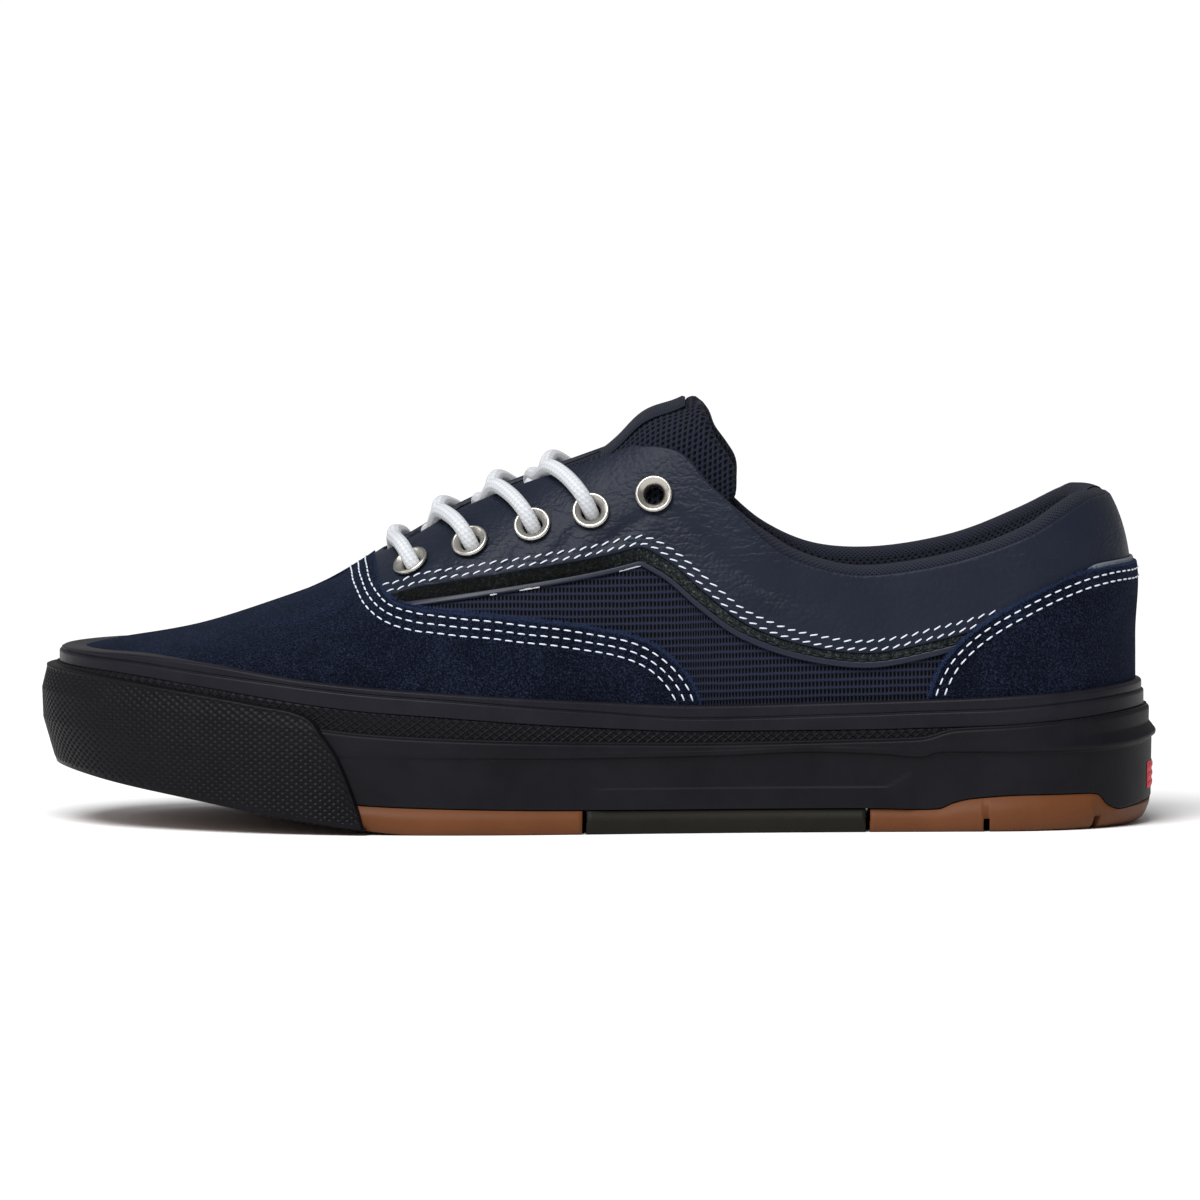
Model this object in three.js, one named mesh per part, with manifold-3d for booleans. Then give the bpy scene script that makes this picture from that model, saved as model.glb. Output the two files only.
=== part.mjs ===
// A low skateboarding shoe for the left foot, as an assembly of its separate pieces.
// Millimetres, +Z up. The toe points along -X and the outer side of the foot is at -Y.
// The origin is on the floor, below the middle of the sole.
import * as THREE from "three";
import { mergeVertices } from "three/addons/utils/BufferGeometryUtils.js";
import Module from "manifold-3d";

const wasm = await Module();
wasm.setup();

// Driving dimensions
const lastLength = 285; // closed upper, toe tip to back of heel
const lastMiddle = 0.8; // middle of that length, along X
const ballWidth = 101; // closed upper, across the ball
const upperHeight = 96; // cup's rim to the crown of the closed upper over the instep
const soleHeight = 40; // floor to the top of the foxing band at the heel
const toeRound = 0.24; // share of the length that rounds the toe in plan
const heelRound = 0.14; // share of the length that rounds the heel in plan
const heelTuck = 12.4; // how far the back leans in
const tuckTop = 0.7; // share of the upper's height at which it has leaned in that far
const toeTuck = 3; // how far the toe leans back at its crown
const wall = 2.6; // upper's fabric and lining
const collarPad = 3.4; // foam added inside the collar
const padAlong = [0.65, 0.72]; // shares of the length between which the foam begins
const padUp = [0.17, 0.33]; // shares of the upper's height, likewise
const clearance = 0.3; // between pieces that touch
const suede = 1.5; // vamp and heel counter
const leather = 1; // eyestay and collar panel
const bindingHeight = 3; // textile edge above the leather panel
const sideWall = 5.2; // cup wall outside the closed upper
const foxing = 4; // foxing band outside the closed upper
const foxingStep = 0.6; // upper part of the band, behind its lower part
const grooveDepth = 0.7; // line round the foxing band
const bumperProud = 2.2; // toe bumper outside the cup wall
const insoleThickness = 4.5;
const tongueThickness = 5;
const tongueSink = 3.5; // tongue's crown below the eyestays' own curve
const sinkEnds = [0.44, 0.53]; // shares of the length between which it comes up again
const labelThickness = 0.8;
const edgeRound = 0.6; // rounded edges of the rubber
const bevelHeight = 1.5; // rounded edge of the tread
const padInset = 0.2; // outsole pads, behind the cup wall
const padGap = 1.2; // slot between two outsole pads
const grooveWidth = 2.4; // tread
const treadDepth = 2.2;
const treadPitch = 17;
const treadBorder = 3; // plain rim round the tread, inside the feather line
const laceRadius = 2;
const eyeletHole = 2.6; // radius
const eyeletMetal = 0.5;
const eyeletRim = 2; // flange beyond the barrel
const eyeletHeight = 1.4;
const tabHalfWidth = 11; // ribbed patch on the back of the sole
const tabThickness = 0.8;
const aroundSteps = 20; // stations a side
const upSteps = 5; // stations from the feather line to the crown
const eyeletSides = 8;
const cordSides = 8;
const cordSteps = 8;
const slotSteps = 18;
const solverSteps = 30;
const featherShare = 0.12; // share of the section's run that stands straight in the sole

function table(columns, rows) {
  return rows.map((row) =>
    Object.fromEntries(columns.map((column, i) => [column, row[i]])),
  );
}

// The last. Shift and half are shares of the ball width, and crown is the height above
// the cup's rim as a share of the upper's height. Side, top and lean shape a section:
// how far up its side runs straight, how flat its crown is, and how much it leans in.
const last = table(
  ["at", "shift", "half", "crown", "side", "top", "lean"],
  [
    [0.0, 0.049, 0.465, 0.023, 0.55, 0.6, 0.0],
    [0.026, 0.045, 0.468, 0.041, 0.55, 0.6, 0.0],
    [0.074, 0.039, 0.472, 0.076, 0.55, 0.6, 0.02],
    [0.12, 0.033, 0.477, 0.122, 0.56, 0.6, 0.05],
    [0.187, 0.017, 0.489, 0.217, 0.57, 0.55, 0.12],
    [0.24, 0.003, 0.498, 0.302, 0.58, 0.5, 0.18],
    [0.291, -0.011, 0.5, 0.408, 0.6, 0.47, 0.24],
    [0.33, -0.021, 0.496, 0.493, 0.62, 0.48, 0.28],
    [0.37, -0.031, 0.486, 0.581, 0.66, 0.5, 0.29],
    [0.42, -0.039, 0.468, 0.667, 0.7, 0.54, 0.28],
    [0.5, -0.045, 0.428, 0.794, 0.78, 0.64, 0.25],
    [0.56, -0.043, 0.402, 0.913, 0.82, 0.7, 0.2],
    [0.63, -0.037, 0.382, 1.005, 0.85, 0.8, 0.12],
    [0.7, -0.029, 0.37, 1.004, 0.85, 0.85, 0.07],
    [0.8, -0.019, 0.362, 1.0, 0.85, 0.85, 0.05],
    [0.9, -0.011, 0.36, 0.99, 0.85, 0.85, 0.05],
    [1.0, -0.011, 0.356, 0.958, 0.85, 0.85, 0.05],
  ],
);

// The sole, from the tread up. Heights are shares of the sole height; groove is a
// share of the foxing band.
const sole = table(
  ["at", "ground", "split", "seat", "ledge", "strip", "rim", "band", "groove"],
  [
    [0.0, 0.398, 0.55, 0.675, 0.7, 0.9, 1.06, 1.14, 0.9],
    [0.05, 0.315, 0.47, 0.62, 0.65, 0.862, 1.05, 1.15, 0.85],
    [0.12, 0.222, 0.38, 0.55, 0.6, 0.812, 1.002, 1.118, 0.72],
    [0.215, 0.095, 0.265, 0.475, 0.538, 0.725, 0.885, 1.022, 0.64],
    [0.274, 0.034, 0.205, 0.45, 0.512, 0.675, 0.835, 0.985, 0.66],
    [0.33, 0.0, 0.18, 0.44, 0.505, 0.65, 0.805, 0.96, 0.7],
    [0.48, 0.0, 0.145, 0.45, 0.49, 0.615, 0.725, 0.9, 0.6],
    [0.593, 0.0, 0.145, 0.485, 0.485, 0.602, 0.688, 0.862, 0.49],
    [0.753, 0.0, 0.132, 0.535, 0.505, 0.62, 0.692, 0.882, 0.54],
    [0.8, 0.0, 0.138, 0.545, 0.515, 0.63, 0.7, 0.89, 0.56],
    [0.835, 0.0, 0.215, 0.552, 0.54, 0.69, 0.705, 0.898, 0.56],
    [0.877, 0.0, 0.235, 0.558, 0.548, 0.705, 0.715, 0.91, 0.55],
    [0.954, 0.0, 0.275, 0.56, 0.6, 0.75, 0.76, 0.94, 0.6],
    [0.97, 0.0, 0.26, 0.56, 0.61, 0.765, 0.775, 0.955, 0.6],
    [0.988, 0.0, 0.18, 0.56, 0.625, 0.782, 0.79, 0.968, 0.6],
    [1.0, 0.0, 0.195, 0.56, 0.63, 0.792, 0.8, 0.975, 0.6],
  ],
);

// How far out the cup wall stands at each of its steps, and how far the tread's edge
// is bevelled, as shares of the side wall.
const wallSteps = table(
  ["at", "foot", "ledge", "shelf", "shelfTop", "strip", "rim", "bevel"],
  [
    [0.0, 0.62, 1.17, 1.19, 1.23, 1.2, 0.98, 0.25],
    [0.1, 0.82, 1.06, 1.06, 1.08, 1.04, 0.86, 0.25],
    [0.2, 0.98, 1.0, 1.0, 1.0, 0.85, 0.8, 0.25],
    [0.26, 1.0, 1.0, 1.0, 1.0, 0.72, 0.72, 0.25],
    [0.36, 1.0, 1.0, 1.08, 1.05, 0.72, 0.72, 0.25],
    [0.5, 1.0, 1.0, 1.15, 1.1, 0.72, 0.72, 0.25],
    [0.78, 1.0, 1.0, 1.15, 1.1, 0.72, 0.72, 0.25],
    [0.9, 1.0, 1.05, 1.2, 1.1, 0.8, 0.8, 0.4],
    [1.0, 1.02, 1.25, 1.35, 1.14, 0.92, 0.9, 1.0],
  ],
);

// Half width of the throat, as a share of the ball width.
const throat = table(
  ["at", "half"],
  [
    [0.294, 0.02],
    [0.3, 0.078],
    [0.33, 0.11],
    [0.368, 0.13],
    [0.405, 0.146],
    [0.445, 0.165],
    [0.498, 0.19],
    [0.54, 0.21],
    [0.568, 0.224],
    [0.66, 0.285],
  ],
);

// Side-view outlines of the panels: a share of the last's length, and of the upper's
// height. The collar's edge has a height for each side of the foot.
const topline = table(
  ["at", "left", "right"],
  [
    [0.52, 1.129, 1.129],
    [0.552, 0.804, 0.804],
    [0.586, 0.76, 0.729],
    [0.62, 0.662, 0.612],
    [0.655, 0.571, 0.529],
    [0.7, 0.501, 0.478],
    [0.76, 0.467, 0.467],
    [0.832, 0.498, 0.501],
    [0.9, 0.561, 0.57],
    [0.958, 0.641, 0.641],
    [0.985, 0.663, 0.663],
    [1.06, 0.663, 0.663],
  ],
);
const vampSide = [
  [0.6, -0.007],
  [0.587, 0.123],
  [0.552, 0.229],
  [0.5, 0.278],
  [0.41, 0.312],
  [0.33, 0.332],
];
const vampFront = [
  [0.33, 0.332],
  [0.299, 0.362],
  [0.286, 0.458],
  [0.285, 0.677],
];
const panelRise = [
  [0.334, 0.341],
  [0.443, 0.393],
  [0.5, 0.424],
  [0.537, 0.451],
];
const panelSweep = [
  [0.537, 0.451],
  [0.562, 0.408],
  [0.592, 0.331],
  [0.632, 0.248],
  [0.69, 0.188],
  [0.756, 0.166],
  [0.824, 0.204],
];
const counterEdge = [
  [0.808, -0.007],
  [0.808, 0.08],
  [0.827, 0.202],
  [0.87, 0.309],
  [0.93, 0.401],
  [0.977, 0.441],
  [1.06, 0.441],
];
// The bumper's outline has its heights as shares of the sole height.
const bumperEdge = [
  [0.2754, -0.1],
  [0.272, 0.15],
  [0.249, 0.5],
  [0.222, 0.775],
  [0.2, 0.84],
  [0.12, 0.915],
  [0.03, 1.0],
  [-0.08, 1.06],
];
const tongueEdge = [
  [0.22, 0.38],
  [0.22, 0.509],
  [0.35, 0.871],
  [0.57, 1.039],
  [0.592, 0.903],
  [0.612, 0.793],
  [0.632, 0.709],
  [0.63, 0.632],
  [0.6, 0.535],
  [0.43, 0.419],
];
const labelEdge = [
  [0.492, 1.129],
  [0.492, 0.483],
  [0.57, 0.483],
  [0.585, 0.871],
  [0.572, 1.129],
];
const labelHalfWidth = 0.125; // share of the ball width
const padSlots = [0.481, 0.753]; // where the outsole's three pads part
const heelSlots = [0.865, 0.985]; // notches through the heel pad
const tabHeights = [0.24, 0.42]; // shares of the sole height
const tabRibs = 3;

// Eyelets from the toe up: a share of the length, and of the upper's height.
const eyelets = [
  [0.319, 0.463],
  [0.375, 0.509],
  [0.434, 0.556],
  [0.489, 0.6],
  [0.553, 0.643],
];

const rimShare = 0.7; // cup's rim at the instep, as a share of the sole height
const lengthAt = (share) => (share - 0.5) * lastLength + lastMiddle;
const onUpper = (share) => rimShare * soleHeight + share * upperHeight;
const onSole = (share) => share * soleHeight;

// Reads a column of a table at a place along it, through cubics from row to row that
// never rise above or fall below the rows beside them.
function read(rows, column, at) {
  const end = rows.length - 1;
  let i = 0;
  while (i < end - 1 && at > rows[i + 1].at) i += 1;
  const rise = (k) => {
    const [a, b] = [rows[k], rows[k + 1]];
    return (b[column] - a[column]) / (b.at - a.at);
  };
  const slope = (k) => {
    const [before, after] = [rise(Math.max(k - 1, 0)), rise(Math.min(k, end - 1))];
    return before * after > 0 ? (2 * before * after) / (before + after) : 0;
  };
  const span = rows[i + 1].at - rows[i].at;
  const u = THREE.MathUtils.clamp((at - rows[i].at) / span, 0, 1);
  return (
    rows[i][column] * (1 + 2 * u) * (1 - u) ** 2 +
    rows[i + 1][column] * u * u * (3 - 2 * u) +
    span * (slope(i) * u * (1 - u) ** 2 - slope(i + 1) * u * u * (1 - u))
  );
}

const alongOf = (around) => (1 - Math.cos(2 * Math.PI * around)) / 2;

function aroundOf(along, side) {
  const turn = Math.acos(1 - 2 * along) / (2 * Math.PI);
  return side < 0 ? turn : 1 - turn;
}

const soleAt = (column, along) => soleHeight * read(sole, column, along);
const stepAt = (column, along) => sideWall * read(wallSteps, column, along);
const middleAt = (along) => ballWidth * read(last, "shift", along);

// How much of the full half width is there, near the round ends of the plan.
function roundEnds(along) {
  const roundness = 2.2;
  const end = Math.min(along / toeRound, (1 - along) / heelRound, 1);
  return (1 - (1 - end) ** roundness) ** (1 / roundness);
}

// A point of the closed upper. Around runs from the toe tip (0) along the outer side to
// the heel (0.5) and back along the inner side; up from the feather line (0) to the crown.
// A section stands straight inside the sole, then follows one cubic Bezier to the crown.
function lastPoint(around, up, sink) {
  const turn = around - Math.floor(around);
  const side = turn < 0.5 ? -1 : 1;
  const along = alongOf(turn);
  const half = ballWidth * read(last, "half", along) * roundEnds(along);
  const seat = soleAt("seat", along);
  const root = soleAt("rim", along);
  const drop = sink * (1 - THREE.MathUtils.smoothstep(along, ...sinkEnds));
  const crown = root + upperHeight * read(last, "crown", along) - drop;
  const rise = read(last, "side", along) * (crown - root);
  const shoulder = half - Math.min(read(last, "lean", along) * rise, half / 2);
  let beside = half;
  let height = seat + ((root - seat) * up) / featherShare;
  if (up > featherShare) {
    const t = (up - featherShare) / (1 - featherShare);
    const flat = half * read(last, "top", along);
    const b = [(1 - t) ** 3, 3 * t * (1 - t) ** 2, 3 * t * t * (1 - t), t ** 3];
    beside = b[0] * half + b[1] * shoulder + b[2] * flat;
    height = b[0] * root + b[1] * (root + rise) + (b[2] + b[3]) * crown;
  }
  const reach = Math.max(height - root, 0) / (crown - root);
  const tuck = heelTuck * Math.min(reach / tuckTop, 1) ** 5 * along ** 8;
  const lean = toeTuck * reach ** 2 * (1 - along) ** 12 - tuck;
  return new THREE.Vector3(lengthAt(along) + lean, middleAt(along) + side * beside, height);
}

function skinNormal(around, up, sink) {
  const step = 1e-3;
  const level = THREE.MathUtils.clamp(up, 0.01, 0.985);
  const onward = lastPoint(around + step, level, sink).sub(lastPoint(around - step, level, sink));
  const upward = lastPoint(around, level + step, sink).sub(lastPoint(around, level - step, sink));
  const normal = onward.cross(upward);
  if (up > 0.999) normal.y = 0;
  if (up < featherShare) normal.z = 0;
  return normal.normalize();
}

// The closed upper's surface moved outwards. Out is a length, or a function of the point.
function skin(around, up, out, sink = 0) {
  const point = lastPoint(around, up, sink);
  const distance = typeof out === "function" ? out(alongOf(around), point.z) : out;
  return point.addScaledVector(skinNormal(around, up, sink), distance);
}

// A point of the sole's outline, a distance outside the feather line.
function outline(around, out, height) {
  const point = lastPoint(around, 0, 0);
  const normal = skinNormal(around, 0, 0);
  return new THREE.Vector3(point.x + normal.x * out, point.y + normal.y * out, height);
}

function solidOf(geometry) {
  const bare = geometry.index ? geometry.clone() : geometry;
  for (const name of Object.keys(bare.attributes)) {
    if (name !== "position") bare.deleteAttribute(name);
  }
  const merged = mergeVertices(bare, 1e-4);
  const kept = [];
  for (let i = 0; i < merged.index.count; i += 3) {
    const [a, b, c] = [0, 1, 2].map((k) => merged.index.getX(i + k));
    if (a !== b && b !== c && c !== a) kept.push(a, b, c);
  }
  return new wasm.Manifold(
    new wasm.Mesh({
      numProp: 3,
      vertProperties: merged.attributes.position.array,
      triVerts: new Uint32Array(kept),
    }),
  );
}

// A solid from loops stacked upwards; each loop runs round the shoe from the toe tip.
// Strips join one loop to the next, and the lowest and highest are closed across.
function stack(levels) {
  const count = 2 * aroundSteps;
  const points = levels.flatMap((level) =>
    Array.from({ length: count }, (_, i) => level(i / count)),
  );
  const faces = [];
  for (let row = 0; row < levels.length - 1; row += 1) {
    for (let i = 0; i < count; i += 1) {
      const next = (i + 1) % count;
      const [a, b] = [row * count + i, row * count + next];
      const [c, d] = [a + count, b + count];
      faces.push(a, b, d, a, d, c);
    }
  }
  const topRow = (levels.length - 1) * count;
  for (let i = 0; i < aroundSteps; i += 1) {
    const [a, b, c, d] = [i, i + 1, count - i - 1, (count - i) % count];
    faces.push(a, d, c, a, c, b);
    faces.push(topRow + a, topRow + c, topRow + d, topRow + a, topRow + b, topRow + c);
  }
  const geometry = new THREE.BufferGeometry().setFromPoints(points).setIndex(faces);
  return solidOf(geometry);
}

// The closed upper as a solid, moved outwards, from a height below or above the seat.
function form(out, lift = 0, sink = 0) {
  const base = (around) => skin(around, 0, out, sink).add(new THREE.Vector3(0, 0, lift));
  const ups = Array.from(
    { length: upSteps + 1 },
    (_, i) => featherShare + ((1 - featherShare) * i) / upSteps,
  );
  return stack([base, ...ups.map((up) => (around) => skin(around, up, out, sink))]);
}

// A flat layer of the sole between two heights.
function slab(low, high, out) {
  const level = (column, more) => (around) =>
    outline(around, out, soleAt(column, alongOf(around)) + more);
  return stack([level(...low), level(...high)]);
}

// Rounds an open run of side-view points into a smooth line.
const smooth = (points) =>
  new THREE.SplineCurve(points.map(([at, up]) => new THREE.Vector2(at, up)))
    .getPoints(2 * (points.length - 1))
    .map((p) => [p.x, p.y]);

// A side-view outline run across the shoe, from one place across it to another.
function across(points, heightAt = onUpper, from = -ballWidth, to = ballWidth) {
  const corners = points.map(([at, up]) => new THREE.Vector2(lengthAt(at), heightAt(up)));
  const geometry = new THREE.ExtrudeGeometry(new THREE.Shape(corners), {
    depth: to - from,
    bevelEnabled: false,
  });
  geometry.rotateX(Math.PI / 2).translate(0, to, 0);
  return solidOf(geometry);
}

const join = (solids) => solids.reduce((a, b) => a.add(b));
const shifted = (points, along, up) => points.map(([at, height]) => [at + along, height + up]);

// The slot between the eyestays, run upwards from inside the upper, with its points
// closer together at its round front end.
function throatSlot() {
  const [first, end] = [throat[0].at, throat[throat.length - 1].at];
  const side = (sign) =>
    Array.from({ length: slotSteps + 1 }, (_, i) => {
      const at = first + (end - first) * (i / slotSteps) ** 1.7;
      const half = ballWidth * read(throat, "half", at);
      return new THREE.Vector2(lengthAt(at), middleAt(at) + sign * half);
    });
  const shape = new THREE.Shape([...side(-1), ...side(1).reverse()]);
  const geometry = new THREE.ExtrudeGeometry(shape, { depth: upperHeight, bevelEnabled: false });
  return solidOf(geometry.translate(0, 0, onUpper(0.22)));
}

// The upper's wall, thicker where the collar is padded.
function wallAt(along, height) {
  const back = THREE.MathUtils.smoothstep(along, ...padAlong);
  const up = THREE.MathUtils.smoothstep(height, ...padUp.map(onUpper));
  return -(wall + collarPad * back * up);
}

// All that is above the collar's edge, moved down by a share of the upper's height.
const sky = 2; // above everything
function aboveCollar(down) {
  const side = (name) => {
    const edge = topline.map((row) => [row.at, row[name] - down]);
    return [...smooth(edge), [topline[topline.length - 1].at, sky], [topline[0].at, sky]];
  };
  const left = across(side("left"), onUpper, -ballWidth, 0);
  return left.add(across(side("right"), onUpper, 0, ballWidth));
}

const slot = throatSlot();
const belowBand = slab(["ground", -soleHeight], ["band", clearance], foxing);

// How far up the last, between the feather line and the crown, a test stops holding.
function upWhile(test) {
  let [low, high] = [featherShare, 1];
  for (let i = 0; i < solverSteps; i += 1) {
    const up = (low + high) / 2;
    if (test(up)) low = up;
    else high = up;
  }
  return high;
}

// The place of an eyelet on a side: around and up on the last.
function eyeletPlace([along, share], side) {
  const around = aroundOf(along, side);
  return { around, up: upWhile((up) => lastPoint(around, up, 0).z < onUpper(share)) };
}

const seatOfEyelet = 2 * clearance + leather;

function eyeletSolid(place, profile) {
  const normal = skinNormal(place.around, place.up, 0);
  const turn = new THREE.Quaternion().setFromUnitVectors(new THREE.Vector3(0, 1, 0), normal);
  const geometry = new THREE.LatheGeometry(profile, eyeletSides);
  geometry.applyQuaternion(turn);
  const centre = skin(place.around, place.up, seatOfEyelet);
  return solidOf(geometry.translate(centre.x, centre.y, centre.z));
}

const barrel = eyeletHole + eyeletMetal;

function eyeletRing(place) {
  const inside = -(seatOfEyelet + wall + clearance / 2);
  const flange = barrel + eyeletRim;
  const profile = [
    [eyeletHole, inside],
    [barrel, inside],
    [barrel, clearance],
    [flange, clearance],
    [eyeletHole, eyeletHeight],
    [eyeletHole, inside],
  ];
  return eyeletSolid(place, profile.map(([r, y]) => new THREE.Vector2(r, y)));
}

function eyeletBore(place) {
  const radius = barrel + clearance;
  const reach = 2 * (seatOfEyelet + wall);
  const profile = [
    [0, -reach],
    [radius, -reach],
    [radius, reach],
    [0, reach],
  ];
  return eyeletSolid(place, profile.map(([r, y]) => new THREE.Vector2(r, y)));
}

const sides = { left: -1, right: 1 };
const places = Object.fromEntries(
  Object.entries(sides).map(([name, side]) => [name, eyelets.map((at) => eyeletPlace(at, side))]),
);
const bores = join([...places.left, ...places.right].map(eyeletBore));

function upper() {
  const inside = form(wallAt, -soleHeight);
  return form(0, clearance)
    .subtract(inside)
    .subtract(slot)
    .subtract(aboveCollar(0))
    .subtract(bores);
}

// An overlay lies on the upper, between two larger forms, above the foxing band.
function overlay(thickness) {
  return form(clearance + thickness)
    .subtract(form(clearance))
    .subtract(belowBand);
}

const deep = -1; // below everything
const before = -0.1; // past the toe
const behind = 1.1; // past the heel

function vampOverlay() {
  const edge = [...smooth(vampSide), ...smooth(vampFront)];
  const [top, foot] = [vampFront[3][1], vampSide[0][0]];
  const region = across([...edge, [before, top], [before, deep], [foot, deep]]);
  return overlay(suede).intersect(region);
}

function collarOverlay() {
  const gap = clearance / lastLength;
  const rise = clearance / upperHeight;
  const front = smooth(shifted(vampFront, 2 * gap, 2 * rise)).reverse();
  const back = smooth(shifted(counterEdge.slice(2), -gap, 2 * rise));
  const lower = [...smooth(panelRise), ...smooth(panelSweep)];
  const region = across([...front, ...lower, ...back, [behind, sky], [0.3, sky]]);
  return overlay(leather)
    .intersect(region)
    .subtract(aboveCollar(bindingHeight / upperHeight))
    .subtract(slot)
    .subtract(bores);
}

function heelCounter() {
  const region = across([...smooth(counterEdge), [behind, deep], [counterEdge[0][0], deep]]);
  return overlay(suede).intersect(region);
}

// The cup: its wall steps in at the textured strip and out at the ledge.
function cup(more, low) {
  const level = (column, rise, step) => (around) => {
    const along = alongOf(around);
    return outline(around, stepAt(step, along) + more, soleAt(column, along) + rise);
  };
  return stack([
    level("split", low, "foot"),
    level("ledge", -edgeRound, "ledge"),
    level("ledge", edgeRound / 2, "shelf"),
    level("strip", -edgeRound, "shelfTop"),
    level("strip", 0, "strip"),
    level("rim", 0, "rim"),
  ]);
}

const recess = form(clearance);
const midsole = () => cup(0, 0).subtract(recess);

function foxingBand() {
  const level = (share, out, lift = 0) => (around) => {
    const along = alongOf(around);
    const [rim, band] = [soleAt("rim", along), soleAt("band", along)];
    const line = read(sole, "groove", along);
    return outline(around, out, rim + (band - rim) * share(line) + lift);
  };
  const thin = foxing - foxingStep;
  return stack([
    level(() => 0, foxing, clearance),
    level((line) => line, foxing, -edgeRound),
    level((line) => line, foxing - grooveDepth),
    level((line) => line, thin, edgeRound / 2),
    level(() => 1, thin, -edgeRound),
    level(() => 1, thin - edgeRound),
  ]).subtract(recess);
}

function toeBumper() {
  const level = (column, rise, step, proud) => (around) => {
    const along = alongOf(around);
    const out = stepAt(step, along) + proud * bumperProud;
    return outline(around, out, soleAt(column, along) + rise);
  };
  const body = stack([
    level("ground", edgeRound, "foot", 0.7),
    level("ledge", 0, "ledge", 1),
    level("strip", 0, "shelfTop", 1),
    level("rim", -clearance, "rim", 0.8),
  ]);
  const region = across([...smooth(bumperEdge), [bumperEdge[7][0], bumperEdge[0][1]]], onSole);
  return body.subtract(cup(clearance, -soleHeight)).intersect(region);
}

// The outsole's whole outline, thin at the tread and just inside the cup wall above.
function outsoleBlank() {
  const level = (column, rise, share) => (around) => {
    const along = alongOf(around);
    const bevel = stepAt("bevel", along) * share;
    return outline(around, stepAt("foot", along) - padInset - bevel, soleAt(column, along) + rise);
  };
  return stack([
    level("ground", 0, 1),
    level("ground", bevelHeight, 0.35),
    level("split", -clearance, 0),
  ]);
}

// Straight grooves across the tread, and long ones that follow the toe's rise.
const treadRoom = (at) => ballWidth * read(last, "half", at) * roundEnds(at) - treadBorder;

function crossGroove(at, reach) {
  const height = soleAt("ground", at) + treadDepth;
  const box = new THREE.BoxGeometry(grooveWidth, 2 * reach, height + soleHeight);
  return solidOf(box.translate(lengthAt(at), middleAt(at), (height - soleHeight) / 2));
}

function longGroove(places, offset) {
  const top = places.map((at) => [at, (soleAt("ground", at) + treadDepth) / soleHeight]);
  const ends = [places[places.length - 1], places[0]].map((at) => [at, -1]);
  const edge = offset - grooveWidth / 2;
  return across([...top, ...ends], onSole, edge, edge + grooveWidth);
}

function treadGrooves(from, to) {
  const count = Math.floor(((to - from) * lastLength) / treadPitch);
  const places = Array.from({ length: count + 1 }, (_, i) => from + ((to - from) * i) / count);
  const lanes = Math.floor(ballWidth / 2 / treadPitch);
  const grooves = places.map((at) => crossGroove(at, treadRoom(at)));
  for (let lane = -lanes; lane <= lanes; lane += 1) {
    const offset = middleAt(from) + lane * treadPitch;
    const wide = places.filter((at) => treadRoom(at) > Math.abs(offset - middleAt(at)));
    if (wide.length > 1) grooves.push(longGroove(wide, offset));
  }
  return join(grooves);
}

// One pad of the outsole, between two stations along the length.
function pad(from, to) {
  const region = across([
    [from, deep],
    [to, deep],
    [to, 1],
    [from, 1],
  ]);
  return outsoleBlank().intersect(region);
}

const slotShare = padGap / lastLength;
const treadMargin = 0.04; // from a pad's end to its first groove
const outsoleForefoot = () =>
  pad(before, padSlots[0]).subtract(treadGrooves(0.06, padSlots[0] - treadMargin));
const outsoleArch = () => pad(padSlots[0] + slotShare, padSlots[1]);
const outsoleHeel = () =>
  pad(padSlots[1] + slotShare, behind)
    .subtract(treadGrooves(padSlots[1] + treadMargin, 1 - treadMargin))
    .subtract(join(heelSlots.map((at) => crossGroove(at, ballWidth))));

// A patch on the back of the cup's wall, with ribs across it.
function heelTab() {
  const shell = (thickness) => cup(clearance + thickness, 0).subtract(cup(clearance, -1));
  const block = (foot, head) => {
    const tall = (head - foot) * soleHeight;
    const box = new THREE.BoxGeometry(lastLength, 2 * tabHalfWidth, tall);
    return solidOf(box.translate(lastLength / 2, 0, foot * soleHeight + tall / 2));
  };
  const [foot, head] = tabHeights;
  const pitch = (head - foot) / tabRibs;
  const ribs = Array.from({ length: tabRibs }, (_, i) => {
    const low = foot + (i + 0.25) * pitch;
    return block(low, low + pitch / 2);
  });
  const patch = shell(tabThickness / 2).intersect(block(foot, head));
  return patch.add(shell(tabThickness).intersect(join(ribs)));
}

const insideGap = wall + 1.5 * clearance;

const insole = () =>
  slab(["seat", clearance], ["seat", clearance + insoleThickness], -insideGap);

function tongueShell(low, high, region) {
  const outer = -(insideGap + 2 * clearance);
  return form(outer + high, 0, tongueSink)
    .subtract(form(outer + low, -soleHeight, tongueSink))
    .intersect(region);
}

const tongue = () => tongueShell(-tongueThickness, 0, across(smooth([...tongueEdge, tongueEdge[0]])));

function tongueLabel() {
  const width = new THREE.BoxGeometry(lastLength, 2 * labelHalfWidth * ballWidth, lastLength);
  const region = across(labelEdge).intersect(solidOf(width.translate(0, middleAt(0.54), 0)));
  return tongueShell(clearance, clearance + labelThickness, region);
}

// A round cord through points, on a smooth curve.
function cord(points) {
  const rim = Array.from({ length: cordSides }, (_, i) => {
    const angle = (2 * Math.PI * i) / cordSides;
    return new THREE.Vector2(laceRadius * Math.cos(angle), laceRadius * Math.sin(angle));
  });
  const curve = new THREE.CatmullRomCurve3(points);
  const geometry = new THREE.ExtrudeGeometry(new THREE.Shape(rim), {
    steps: cordSteps,
    extrudePath: curve,
  });
  return solidOf(geometry);
}

// The lace over one eyelet, and over the eyestay's edge beside it.
const laceOut = seatOfEyelet + eyeletHeight + laceRadius + 3 * clearance;
const laceStart = (place) => skin(place.around, place.up, laceOut);

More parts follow.
